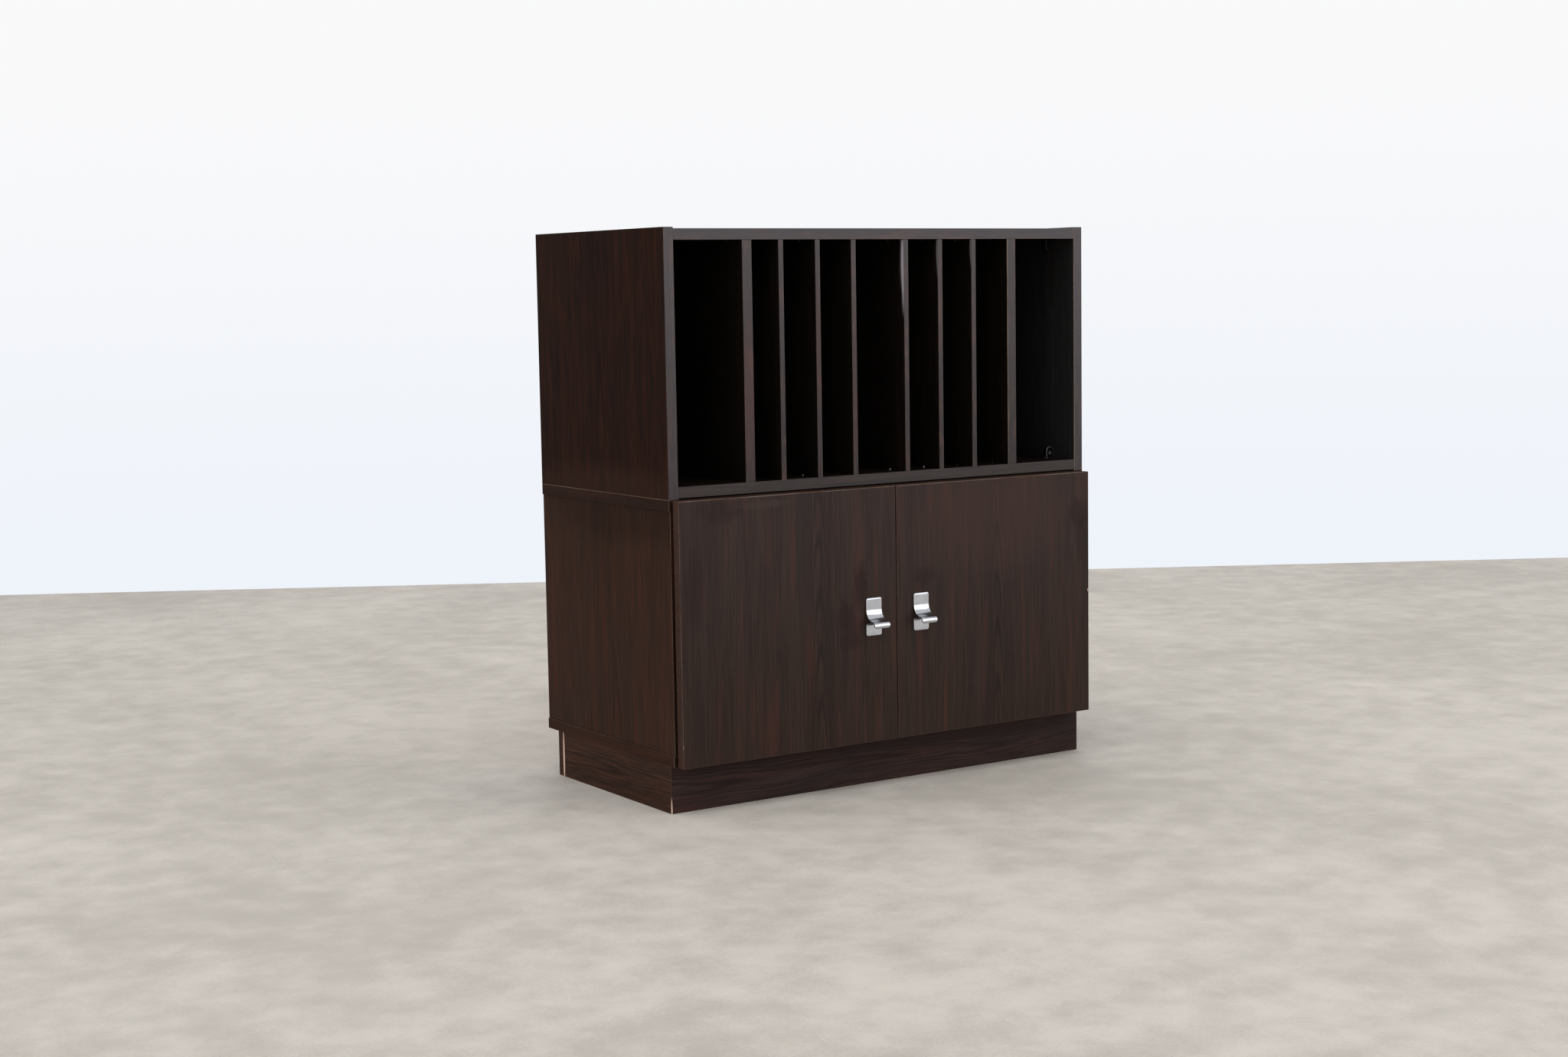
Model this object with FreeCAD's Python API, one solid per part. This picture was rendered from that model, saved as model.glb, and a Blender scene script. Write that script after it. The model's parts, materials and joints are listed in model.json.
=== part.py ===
import FreeCAD, Part
import math
import os

# Record cabinet in two stacked cases. The upper case is open, with upright dividers for record
# sleeves. The lower case has two doors on concealed single-pivot hinges and stands on a plinth.
# Millimetres, +Z up. The front faces -Y. The origin is on the floor, at the middle of the
# overall width and of the overall depth, pulls included.

# ---- Driving dimensions --------------------------------------------------------------------

# Boards
BOARD = 16.0                # chipboard of the cases, partitions, plinth and doors
DIVIDER = 8.0               # thin upright dividers
BACK = 4.0                  # hardboard back panels
EDGING = 0.8                # band glued over the visible board edges

# Cases
CASE_WIDTH = 764.0
CASE_DEPTH = 387.0
UPPER_CASE_HEIGHT = 384.0
LOWER_CASE_HEIGHT = 384.0
END_RECESS = 2.0            # the upper case's sides run this far past its top and bottom boards
SIDE_INSET = 1.5            # the lower sides and the plinth stand in from the lower boards' ends
GROOVE_DEPTH = 6.0          # groove that holds a back panel
BACK_PLAY = 0.3             # back panel to groove
BACK_INSET = 10.0           # rear edge of the boards to the back panel

# Clear widths of the record bays, from the left side; the bay after the last takes the rest
LEFT_END_BAY = 114.0
FIRST_BAY = 46.0
NARROW_BAY = 56.0
WIDE_BAY = 88.0
LAST_BAY = 62.0

# Dividers and the pins that hold them
DIVIDER_HEADROOM = 0.5      # divider to the board over it
DIVIDER_BACK_GAP = 1.0      # divider to the back panel
PIN_RADIUS = 2.5
PIN_SET = 8.0               # length of pin in the board
PIN_STAND = 3.0             # length of pin that stands out
PIN_CHAMFER = 0.8
PIN_PLAY = 0.2              # pin to divider
PIN_ROW_INSET = 37.0        # front edge of the boards to the front row of pins
PIN_ROW_SPACING = 288.0     # front row to rear row

# Corner fittings and dowels
FITTING_WIDTH = 14.0        # out from the side
FITTING_HEIGHT = 18.5
FITTING_DEPTH = 9.0
FITTING_ROUND = 1.5
FITTING_INSET = 56.0        # front or rear edge of the boards to the middle of a fitting
PEG_RADIUS = 4.0
PEG_LENGTH = 8.0
CAM_RADIUS = 3.0
CAM_LENGTH = 7.0            # length of cam in the fitting
CAM_STAND = 0.4             # length of cam that stands out
CAM_HEIGHT = 8.0            # board to the middle of the cam
DOWEL_RADIUS = 4.0
DOWEL_IN_FACE = 10.0        # length of dowel in a board's face
DOWEL_IN_END = 14.0         # length of dowel in a board's end
CASE_DOWEL_INSET = 110.0    # front or rear edge of the boards to a case dowel
STACKING_DOWEL_INSET = 84.0

# Plinth
PLINTH_HEIGHT = 70.0
PLINTH_SETBACK = 13.3       # front of the cases to the front of the plinth
PLINTH_REAR_INSET = 30.0
BLOCK_WIDTH = 28.0
BLOCK_HEIGHT = 40.0
BLOCK_BEVEL = 14.0
BLOCK_SCREW_INSET = 15.0    # inner faces of the plinth to the screw in a block

# Doors
DOOR_GAP = 3.5              # back of a closed door to the front of the cases
DOOR_SIDE_REVEAL = 4.0      # outer face of the cases to the outer edge of a door
DOOR_TOP_REVEAL = 1.0
DOOR_MIDDLE_GAP = 2.0

# Hinges: two to a door, each turning on one pin inside its cup
HINGE_INSET = 75.0          # top or bottom edge of a door to the middle of a hinge
CUP_RADIUS = 17.5
CUP_DEPTH = 13.0
CUP_WALL = 0.9
CUP_EDGE = 3.0              # edge of a door to the edge of the cup
PIVOT_EDGE = 7.5            # edge of a door to the pin
PIVOT_DEPTH = 9.0           # back of a door to the pin
HINGE_PIN_RADIUS = 1.5
HINGE_PIN_PLAY = 0.05
KNUCKLE_RADIUS = 2.4
LUG_THICKNESS = 1.8
LUG_RADIUS = 2.6
KNUCKLE_PLAY = 0.3          # side of the knuckle to a lug
FLANGE_THICKNESS = 1.0
FLANGE_RIM = 1.0            # width of the flange around the cup
EAR_WIDTH = 12.0
EAR_SPACING = 48.0          # screw to screw
EAR_OFFSET = 6.0            # middle of the cup to the line of its screws
ARM_WIDTH = 10.0
ARM_THICKNESS = 1.8
ARM_REACH = 12.5            # pin to the middle of the arm's web
ARM_BEND = 3.3
ARM_LENGTH = 62.0           # front of the cases to the rear end of the arm
CHANNEL_START = 2.0         # front of the cases to the front of the arm's channel
CHANNEL_SLOPE = 12.0
CHANNEL_WIDTH = 14.0
CHANNEL_WALL = 1.2
PLATE_THICKNESS = 1.6
PLATE_PLAY = 0.3
PLATE_SCREW_INSET = 37.0    # front of the cases to the mounting plate's screws
PLATE_SCREW_SPACING = 32.0
WING_RADIUS = 7.0
BOSS_START = 20.0           # front of the cases to the front of the plate's boss
BOSS_LENGTH = 40.0
ARM_SCREW_INSET = 52.0      # front of the cases to the screw that holds the arm
ADJUSTER_INSET = 28.0       # front of the cases to the adjusting screw
ADJUSTER_RADIUS = 2.4
ADJUSTER_STAND = 0.4

# Screws
SCREW_RADIUS = 1.8
SCREW_HEAD_RADIUS = 3.4
SCREW_HEAD_HEIGHT = 1.6
SCREW_LENGTH = 11.0         # length of screw in chipboard
ARM_SCREW_RADIUS = 2.0
ARM_SCREW_LENGTH = 4.6      # length of the arm's screw in the boss
BLOCK_SCREW_LENGTH = 50.0

# Magnetic catches
CATCH_OFFSET = 34.0         # middle of the cabinet to the middle of a catch
CATCH_WIDTH = 26.0
CATCH_HEIGHT = 12.0
CATCH_LENGTH = 15.0
CATCH_SETBACK = 1.0
CATCH_ROUND = 2.0
CATCH_EAR_WIDTH = 9.0
CATCH_EAR_HEIGHT = 3.0
MAGNET_WIDTH = 20.0
MAGNET_LENGTH = 13.0
MAGNET_THICKNESS = 4.0
POLE_THICKNESS = 1.5
STRIKE_WIDTH = 26.0
STRIKE_HEIGHT = 14.0
STRIKE_THICKNESS = 1.2
STRIKE_CORNER = 3.0
STRIKE_SPIGOT_RADIUS = 2.0
STRIKE_SPIGOT_LENGTH = 7.0
STRIKE_GAP = 0.3            # strike plate to the catch's poles

# Pulls: a hook of sheet that curves out and turns over into a lip, and a tab behind the lip
PULL_WIDTH = 28.0
PULL_HEIGHT = 57.0
PULL_SHEET = 2.5            # thickness of the hook and the tab
PULL_CORNER = 3.5
PULL_OFFSET = 44.0          # middle of the cabinet to the middle of a pull
PULL_DROP = 193.0           # top edge of a door to the middle of a pull
PULL_CURVE_START = 17.0     # top of the hook to the start of its curve
PULL_CURVE = 17.2           # radius of the hook's upper face
PULL_REACH = 21.9           # front of the hook's plate to the front of its lip
PULL_LIP = 6.2              # outer radius of the lip
PULL_LIP_TURN = 40.0        # degrees from the front of the lip down to its end
PULL_TAB = 19.0             # height of the tab
PULL_SCREW_INSET = 9.0      # top of the hook or bottom of the tab to a screw
PULL_SCREW_BITE = 1.8       # length of screw in the hook or the tab
PULL_SCREW_RADIUS = 1.9

# ---- Sizes and places that follow ----------------------------------------------------------

# Bays and the upright at the right of each, from the left side.
BAYS = (LEFT_END_BAY, FIRST_BAY, NARROW_BAY, NARROW_BAY, WIDE_BAY, NARROW_BAY, NARROW_BAY, LAST_BAY)
UPRIGHTS = (("left_partition", BOARD), ("divider_1", DIVIDER), ("divider_2", DIVIDER),
            ("divider_3", DIVIDER), ("divider_4", DIVIDER), ("divider_5", DIVIDER),
            ("divider_6", DIVIDER), ("right_partition", BOARD))

HALF = CASE_WIDTH / 2
INNER_HALF = HALF - BOARD
SIDE_OUTER = HALF - SIDE_INSET
SIDE_INNER = SIDE_OUTER - BOARD

PULL_PROJECTION = PULL_SHEET + PULL_REACH
DEPTH = CASE_DEPTH + DOOR_GAP + BOARD + PULL_PROJECTION
REAR = DEPTH / 2
FRONT = REAR - CASE_DEPTH
CORE_FRONT = FRONT + EDGING
PANEL_REAR = REAR - BACK_INSET
PANEL_FRONT = PANEL_REAR - BACK
DOOR_BACK = FRONT - DOOR_GAP
DOOR_FRONT = DOOR_BACK - BOARD

SEAM = PLINTH_HEIGHT + LOWER_CASE_HEIGHT
TOP = SEAM + UPPER_CASE_HEIGHT
UPPER_FLOOR = SEAM + END_RECESS + BOARD
UPPER_CEILING = TOP - END_RECESS - BOARD
LOWER_FLOOR = PLINTH_HEIGHT + BOARD
LOWER_CEILING = SEAM - BOARD

DOOR_OUTER = HALF - DOOR_SIDE_REVEAL
DOOR_INNER = DOOR_MIDDLE_GAP / 2
DOOR_TOP = SEAM - DOOR_TOP_REVEAL
DOOR_BOTTOM = PLINTH_HEIGHT
HINGE_HEIGHTS = (DOOR_BOTTOM + HINGE_INSET, DOOR_TOP - HINGE_INSET)
PULL_TOP = DOOR_TOP - PULL_DROP + PULL_HEIGHT / 2
CATCH_MIDDLE = LOWER_CEILING - CATCH_HEIGHT / 2

PIN_ROWS = (FRONT + PIN_ROW_INSET, FRONT + PIN_ROW_INSET + PIN_ROW_SPACING)
FITTING_ROWS = (FRONT + FITTING_INSET, REAR - FITTING_INSET)
CASE_DOWEL_ROWS = (FRONT + CASE_DOWEL_INSET, REAR - CASE_DOWEL_INSET)
STACKING_DOWEL_ROWS = (FRONT + STACKING_DOWEL_INSET, REAR - STACKING_DOWEL_INSET)

# Hinge frame: origin on the pin at mid-height, X towards the door's free edge, Y into the case.
HINGE_PIN_X = DOOR_OUTER - PIVOT_EDGE
HINGE_PIN_Y = DOOR_BACK - PIVOT_DEPTH
CASE_FRONT_Y = PIVOT_DEPTH + DOOR_GAP
CUP_X = CUP_EDGE + CUP_RADIUS - PIVOT_EDGE
WALL_X = HINGE_PIN_X - SIDE_INNER
WEB_UNDER_X = ARM_REACH - ARM_THICKNESS / 2
WEB_OVER_X = ARM_REACH + ARM_THICKNESS / 2

X_AXIS = FreeCAD.Vector(1, 0, 0)
Y_AXIS = FreeCAD.Vector(0, 1, 0)
Z_AXIS = FreeCAD.Vector(0, 0, 1)
ORIGIN = FreeCAD.Vector(0, 0, 0)
SIDES = (-1, 1)
ON_PLANE = 0.01             # an edge this near a plane lies in it


# ---- Shapes --------------------------------------------------------------------------------

def box(x, y, z):
    """Box between two values on each axis, in any order."""
    low = FreeCAD.Vector(min(x), min(y), min(z))
    high = FreeCAD.Vector(max(x), max(y), max(z))
    size = high - low
    return Part.makeBox(size.x, size.y, size.z, low)


def rod(radius, start, direction, length):
    """Cylinder from a point along a direction."""
    return Part.makeCylinder(radius, length, FreeCAD.Vector(*start), direction)


def prism(points, direction):
    """Closed outline of straight sides, pushed along a vector."""
    corners = [FreeCAD.Vector(*point) for point in points]
    return Part.Face(Part.makePolygon(corners + corners[:1])).extrude(direction)


def joined(shapes):
    """One solid from pieces that touch or overlap."""
    return shapes[0].fuse(list(shapes[1:])).removeSplitter()


def cut_by(shape, tools):
    """The shape with every tool taken out of it."""
    return shape.cut(Part.makeCompound(list(tools)))


def moved(shape, x=0.0, y=0.0, z=0.0):
    """The shape carried by an offset."""
    return shape.translated(FreeCAD.Vector(x, y, z))


def mirrored(shape, axis):
    """The shape mirrored through the origin along an axis."""
    return shape.mirror(ORIGIN, axis)


def handed(shape, side):
    """A piece made for the right-hand side (+1), or its mirror image for the left (-1)."""
    return shape if side > 0 else mirrored(shape, X_AXIS)


def pan_screw(radius, length, point, direction):
    """Screw whose head seats at a point and whose shank runs along a direction."""
    head = rod(SCREW_HEAD_RADIUS, point, direction * -1, SCREW_HEAD_HEIGHT)
    return joined([head, rod(radius, point, direction, length)])


# ---- Fasteners and fittings of the cases ---------------------------------------------------

def upright_places():
    """Name, thickness and middle of each partition and divider, from the left side."""
    places = []
    x = -INNER_HALF
    for bay, (name, thickness) in zip(BAYS, UPRIGHTS):
        x += bay + thickness
        places.append((name, thickness, x - thickness / 2))
    return places


def divider_pins():
    """Chamfered pins on both sides of every upright, in the boards under and over it."""
    pins = []
    length = PIN_SET + PIN_STAND
    stem = rod(PIN_RADIUS, (0, 0, -PIN_SET), Z_AXIS, length - PIN_CHAMFER)
    tip = Part.makeCone(PIN_RADIUS, PIN_RADIUS - PIN_CHAMFER, PIN_CHAMFER,
                        FreeCAD.Vector(0, 0, PIN_STAND - PIN_CHAMFER), Z_AXIS)
    standing = joined([stem, tip])
    hanging = mirrored(standing, Z_AXIS)
    for name, thickness, middle in upright_places():
        reach = thickness / 2 + PIN_PLAY + PIN_RADIUS
        for x in (middle - reach, middle + reach):
            for y in PIN_ROWS:
                pins.append(moved(standing, x, y, UPPER_FLOOR))
                pins.append(moved(hanging, x, y, UPPER_CEILING))
    return pins


def corner_fitting():
    """Arched housing on a board at Z = 0 against a wall at X = 0, with a peg into the board."""
    half = FITTING_WIDTH / 2
    front = -FITTING_DEPTH / 2
    shoulder = FITTING_HEIGHT - half
    arch = Part.Arc(FreeCAD.Vector(0, front, shoulder), FreeCAD.Vector(half, front, FITTING_HEIGHT),
                    FreeCAD.Vector(FITTING_WIDTH, front, shoulder)).toShape()
    base = Part.makePolygon([FreeCAD.Vector(FITTING_WIDTH, front, shoulder),
                             FreeCAD.Vector(FITTING_WIDTH, front, 0), FreeCAD.Vector(0, front, 0),
                             FreeCAD.Vector(0, front, shoulder)])
    block = Part.Face(Part.Wire([arch] + base.Edges)).extrude(Y_AXIS * FITTING_DEPTH)
    rim = [edge for edge in block.Edges
           if edge.BoundBox.YMax < front + ON_PLANE and edge.BoundBox.ZMax > ON_PLANE]
    block = cut_by(block.makeFillet(FITTING_ROUND, rim), [fitting_bolt(), fitting_cam()])
    peg = rod(PEG_RADIUS, (half, 0, -PEG_LENGTH), Z_AXIS, PEG_LENGTH)
    return joined([block, peg])


def fitting_bolt():
    """Bolt from the wall beside a corner fitting to the middle of its cam."""
    half = FITTING_WIDTH / 2
    return rod(SCREW_RADIUS, (half, 0, CAM_HEIGHT), X_AXIS * -1, half + SCREW_LENGTH)


def fitting_cam():
    """Cam that turns in the front of a corner fitting and holds the end of its bolt."""
    front = -FITTING_DEPTH / 2 - CAM_STAND
    cam = rod(CAM_RADIUS, (FITTING_WIDTH / 2, front, CAM_HEIGHT), Y_AXIS, CAM_STAND + CAM_LENGTH)
    return cam.cut(fitting_bolt())


def at_corners(shape, wall, floor, ceiling):
    """Copies of a piece made against X = 0 and Z = 0 for the eight inner corners of a case."""
    copies = []
    right = moved(mirrored(shape, X_AXIS), wall)
    for side in SIDES:
        low = handed(right, side)
        high = mirrored(low, Z_AXIS)
        for y in FITTING_ROWS:
            copies.append(moved(low, 0, y, floor))
            copies.append(moved(high, 0, y, ceiling))
    return copies


def upper_dowels():
    """Dowels from the ends of the upper case's boards into its sides."""
    dowels = []
    for z in (UPPER_FLOOR - BOARD / 2, UPPER_CEILING + BOARD / 2):
        for y in CASE_DOWEL_ROWS:
            right = rod(DOWEL_RADIUS, (INNER_HALF - DOWEL_IN_END, y, z), X_AXIS,
                        DOWEL_IN_END + DOWEL_IN_FACE)
            dowels += [handed(right, side) for side in SIDES]
    return dowels


def lower_dowels():
    """Dowels from the ends of the lower case's sides into the boards under and over them."""
    dowels = []
    middle = SIDE_OUTER - BOARD / 2
    for z in (LOWER_FLOOR - DOWEL_IN_FACE, LOWER_CEILING - DOWEL_IN_END):
        for y in CASE_DOWEL_ROWS:
            right = rod(DOWEL_RADIUS, (middle, y, z), Z_AXIS, DOWEL_IN_END + DOWEL_IN_FACE)
            dowels += [handed(right, side) for side in SIDES]
    return dowels


def stacking_dowels():
    """Dowels from the ends of the upper case's sides into the top of the lower case."""
    dowels = []
    for y in STACKING_DOWEL_ROWS:
        right = rod(DOWEL_RADIUS, (HALF - BOARD / 2, y, SEAM - DOWEL_IN_FACE), Z_AXIS,
                    DOWEL_IN_END + DOWEL_IN_FACE)
        dowels += [handed(right, side) for side in SIDES]
    return dowels


# ---- Cases ---------------------------------------------------------------------------------

def back_panel(inner_half, floor, ceiling, play=0.0):
    """Back panel of a case, or with play added all round, the room that its grooves give it."""
    reach = GROOVE_DEPTH - BACK_PLAY + play
    return box((-inner_half - reach, inner_half + reach), (PANEL_FRONT - play, PANEL_REAR + play),
               (floor - reach, ceiling + reach))


def front_band(x, z):
    """Edging strip on the front of the cases."""
    return box(x, (FRONT, CORE_FRONT), z)


def upper_case(pins, fittings, bolts, dowels, stackers):
    """Boards, back panel and edging of the upper case."""
    groove = back_panel(INNER_HALF, UPPER_FLOOR, UPPER_CEILING, BACK_PLAY)
    pieces = {"upper_back_panel": [back_panel(INNER_HALF, UPPER_FLOOR, UPPER_CEILING)]}
    core = (CORE_FRONT, REAR)
    for side, name in zip(SIDES, ("left", "right")):
        across = (side * INNER_HALF, side * HALF)
        panel = box(across, core, (SEAM, TOP))
        panel = cut_by(panel, [groove] + bolts + dowels + stackers)
        pieces["upper_%s_side" % name] = [panel]
        pieces["upper_%s_side_edging" % name] = [front_band(across, (SEAM, TOP))]
    across = (-INNER_HALF, INNER_HALF)
    levels = {"top": (UPPER_CEILING, UPPER_CEILING + BOARD),
              "bottom": (UPPER_FLOOR - BOARD, UPPER_FLOOR)}
    for name, level in levels.items():
        board = cut_by(box(across, core, level), [groove] + dowels + pins + fittings)
        pieces["upper_%s_board" % name] = [board]
        pieces["upper_%s_board_edging" % name] = [front_band(across, level)]
    return pieces


def uprights():
    """Partitions and dividers, which stand on the bottom board, and the edging of each."""
    pieces = {"divider_edgings": []}
    height = (UPPER_FLOOR, UPPER_CEILING - DIVIDER_HEADROOM)
    for name, thickness, middle in upright_places():
        across = (middle - thickness / 2, middle + thickness / 2)
        pieces[name] = [box(across, (CORE_FRONT, PANEL_FRONT - DIVIDER_BACK_GAP), height)]
        pieces["divider_edgings"].append(front_band(across, height))
    return pieces


def lower_case(fittings, bolts, plate_screws, other_screws, dowels, stackers):
    """Boards, back panel and edging of the lower case."""
    groove = back_panel(SIDE_INNER, LOWER_FLOOR, LOWER_CEILING, BACK_PLAY)
    pieces = {"lower_back_panel": [back_panel(SIDE_INNER, LOWER_FLOOR, LOWER_CEILING)],
              "lower_side_edgings": []}
    core = (CORE_FRONT, REAR)
    for side, name in zip(SIDES, ("left", "right")):
        across = (side * SIDE_INNER, side * SIDE_OUTER)
        panel = box(across, core, (LOWER_FLOOR, LOWER_CEILING))
        panel = cut_by(panel, [groove] + bolts + plate_screws + dowels)
        pieces["lower_%s_side" % name] = [panel]
        pieces["lower_side_edgings"].append(front_band(across, (LOWER_FLOOR, LOWER_CEILING)))
    levels = {"top": (LOWER_CEILING, SEAM), "bottom": (PLINTH_HEIGHT, LOWER_FLOOR)}
    for name, level in levels.items():
        board = box((EDGING - HALF, HALF - EDGING), core, level)
        tools = [groove] + fittings + other_screws + dowels + stackers
        pieces["lower_%s_board" % name] = [cut_by(board, tools)]
        ends = [box((side * (HALF - EDGING), side * HALF), core, level) for side in SIDES]
        pieces["lower_%s_board_edging" % name] = [front_band((-HALF, HALF), level)] + ends
    return pieces


# ---- Plinth --------------------------------------------------------------------------------

def plinth(screws):
    """Boards on edge, mitred at the front corners, with blocks inside that carry the screws."""
    front = FRONT + PLINTH_SETBACK
    rear = REAR - PLINTH_REAR_INSET
    up = Z_AXIS * PLINTH_HEIGHT
    front_outline = [(-SIDE_OUTER, front, 0), (SIDE_OUTER, front, 0),
                     (SIDE_INNER, front + BOARD, 0), (-SIDE_INNER, front + BOARD, 0)]
    side_outline = [(SIDE_OUTER, front, 0), (SIDE_OUTER, rear - BOARD, 0),
                    (SIDE_INNER, rear - BOARD, 0), (SIDE_INNER, front + BOARD, 0)]
    right = prism(side_outline, up)
    return {
        "plinth_front": [prism(front_outline, up)],
        "plinth_back": [box((-SIDE_OUTER, SIDE_OUTER), (rear - BOARD, rear), (0, PLINTH_HEIGHT))],
        "plinth_left_side": [handed(right, -1)],
        "plinth_right_side": [right],
        "plinth_corner_blocks": [cut_by(block, screws) for block in plinth_blocks()],
    }


def plinth_block_corners():
    """Right-hand inner corners of the plinth and the way into it from each along Y."""
    return ((FRONT + PLINTH_SETBACK + BOARD, 1), (REAR - PLINTH_REAR_INSET - BOARD, -1))


def plinth_blocks():
    """Bevelled wooden block in each inner corner of the plinth, up against the case."""
    blocks = []
    for y, way in plinth_block_corners():
        short = BLOCK_WIDTH - BLOCK_BEVEL
        plan = ((0, 0), (BLOCK_WIDTH, 0), (BLOCK_WIDTH, short), (short, BLOCK_WIDTH),
                (0, BLOCK_WIDTH))
        outline = [(SIDE_INNER - across, y + way * along, PLINTH_HEIGHT - BLOCK_HEIGHT)
                   for across, along in plan]
        right = prism(outline, Z_AXIS * BLOCK_HEIGHT)
        blocks += [handed(right, side) for side in SIDES]
    return blocks


def plinth_block_screws():
    """Screw up through each block into the bottom board."""
    screws = []
    for y, way in plinth_block_corners():
        head = (SIDE_INNER - BLOCK_SCREW_INSET, y + way * BLOCK_SCREW_INSET,
                PLINTH_HEIGHT - BLOCK_HEIGHT)
        right = pan_screw(SCREW_RADIUS, BLOCK_SCREW_LENGTH, head, Z_AXIS)
        screws += [handed(right, side) for side in SIDES]
    return screws


# ---- Hinges, in the hinge frame ------------------------------------------------------------

def cup_body(radius, depth):
    """Round space sunk into the door from its back face."""
    return rod(radius, (CUP_X, PIVOT_DEPTH, 0), Y_AXIS * -1, depth)


def hinge_cup():
    """Pressed cup with a flange and two screw ears on the door's back, and lugs for the pin."""
    ear = rod(EAR_WIDTH / 2, (CUP_X + EAR_OFFSET, PIVOT_DEPTH, EAR_SPACING / 2), Y_AXIS,
              FLANGE_THICKNESS)
    bar = box((CUP_X + EAR_OFFSET - EAR_WIDTH / 2, CUP_X + EAR_OFFSET + EAR_WIDTH / 2),
              (PIVOT_DEPTH, PIVOT_DEPTH + FLANGE_THICKNESS), (-EAR_SPACING / 2, EAR_SPACING / 2))
    disc = rod(CUP_RADIUS + FLANGE_RIM, (CUP_X, PIVOT_DEPTH, 0), Y_AXIS, FLANGE_THICKNESS)
    body = joined([cup_body(CUP_RADIUS, CUP_DEPTH), disc, bar, ear, mirrored(ear, Z_AXIS)])
    hollow = rod(CUP_RADIUS - CUP_WALL, (CUP_X, PIVOT_DEPTH + FLANGE_THICKNESS, 0), Y_AXIS * -1,
                 FLANGE_THICKNESS + CUP_DEPTH - CUP_WALL)
    near = ARM_WIDTH / 2 + KNUCKLE_PLAY
    lug = joined([rod(LUG_RADIUS, (0, 0, near), Z_AXIS, LUG_THICKNESS),
                  box((-LUG_RADIUS, LUG_RADIUS), (PIVOT_DEPTH - CUP_DEPTH, 0),
                      (near, near + LUG_THICKNESS))]).common(hollow)
    cup = body.cut(hollow)
    cup = joined([cup, lug, mirrored(lug, Z_AXIS)])
    return cut_by(cup, [hinge_pin()] + cup_screws())


def hinge_pin():
    """Pin through the cup's lugs and the arm's knuckle."""
    half = ARM_WIDTH / 2 + KNUCKLE_PLAY + LUG_THICKNESS
    return rod(HINGE_PIN_RADIUS, (0, 0, -half), Z_AXIS, half * 2)


def cup_screws():
    """Screws through the cup's ears into the door."""
    return [pan_screw(SCREW_RADIUS, SCREW_LENGTH,
                      (CUP_X + EAR_OFFSET, PIVOT_DEPTH + FLANGE_THICKNESS, side * EAR_SPACING / 2),
                      Y_AXIS * -1) for side in SIDES]


def hinge_arm():
    """Cranked arm: knuckle in the cup, bent strip, and a sloping channel inside the case."""
    half = ARM_THICKNESS / 2
    bend_x = WEB_OVER_X - ARM_BEND
    bend_y = ARM_BEND - half
    end = CASE_FRONT_Y + ARM_LENGTH
    low = -ARM_WIDTH / 2
    leg = box((0, bend_x), (-half, half), (low, -low))
    web = box((WEB_UNDER_X, WEB_OVER_X), (bend_y, end), (low, -low))
    corner = rod(ARM_BEND, (bend_x, bend_y, low), Z_AXIS, ARM_WIDTH)
    corner = corner.cut(rod(ARM_BEND - ARM_THICKNESS, (bend_x, bend_y, low), Z_AXIS, ARM_WIDTH))
    corner = corner.common(box((bend_x, WEB_OVER_X), (-half, bend_y), (low, -low)))
    knuckle = rod(KNUCKLE_RADIUS, (0, 0, low), Z_AXIS, ARM_WIDTH)
    start = CASE_FRONT_Y + CHANNEL_START
    lip_x = WALL_X + PLATE_THICKNESS + PLATE_PLAY
    profile = [(WEB_OVER_X, start, -CHANNEL_WIDTH / 2), (WEB_OVER_X, end, -CHANNEL_WIDTH / 2),
               (lip_x, end, -CHANNEL_WIDTH / 2), (lip_x, start + CHANNEL_SLOPE, -CHANNEL_WIDTH / 2),
               (WEB_UNDER_X, start, -CHANNEL_WIDTH / 2)]
    channel = prism(profile, Z_AXIS * CHANNEL_WIDTH)
    inside = CHANNEL_WIDTH / 2 - CHANNEL_WALL
    channel = channel.cut(box((lip_x - PLATE_PLAY, WEB_UNDER_X), (start, end), (-inside, inside)))
    arm = joined([leg, corner, web, knuckle, channel])
    bore = rod(HINGE_PIN_RADIUS + HINGE_PIN_PLAY, (0, 0, low), Z_AXIS, ARM_WIDTH)
    return cut_by(arm, [bore] + arm_screws())


def arm_screws():
    """Screw that holds the arm on its plate, and the adjusting screw that bears on the plate."""
    fixing = pan_screw(ARM_SCREW_RADIUS, ARM_THICKNESS + ARM_SCREW_LENGTH,
                       (WEB_OVER_X, CASE_FRONT_Y + ARM_SCREW_INSET, 0), X_AXIS * -1)
    adjuster = rod(ADJUSTER_RADIUS, (WEB_UNDER_X, CASE_FRONT_Y + ADJUSTER_INSET, 0), X_AXIS,
                   ARM_THICKNESS + ADJUSTER_STAND)
    return [fixing, adjuster]


def mounting_plate():
    """Winged plate on the case's side, with a boss that fits the arm's channel."""
    screw_y = CASE_FRONT_Y + PLATE_SCREW_INSET
    boss_ends = (CASE_FRONT_Y + BOSS_START, CASE_FRONT_Y + BOSS_START + BOSS_LENGTH)
    inside = CHANNEL_WIDTH / 2 - CHANNEL_WALL - PLATE_PLAY
    sheet = (WALL_X, WALL_X + PLATE_THICKNESS)
    wings = box(sheet, (screw_y - WING_RADIUS, screw_y + WING_RADIUS),
                (-PLATE_SCREW_SPACING / 2, PLATE_SCREW_SPACING / 2))
    ends = [rod(WING_RADIUS, (WALL_X, screw_y, side * PLATE_SCREW_SPACING / 2), X_AXIS,
                PLATE_THICKNESS) for side in SIDES]
    foot = box(sheet, boss_ends, (-CHANNEL_WIDTH / 2, CHANNEL_WIDTH / 2))
    boss = box((WALL_X, WEB_UNDER_X), boss_ends, (-inside, inside))
    return cut_by(joined([wings, foot, boss] + ends), plate_screws() + arm_screws())


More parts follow.
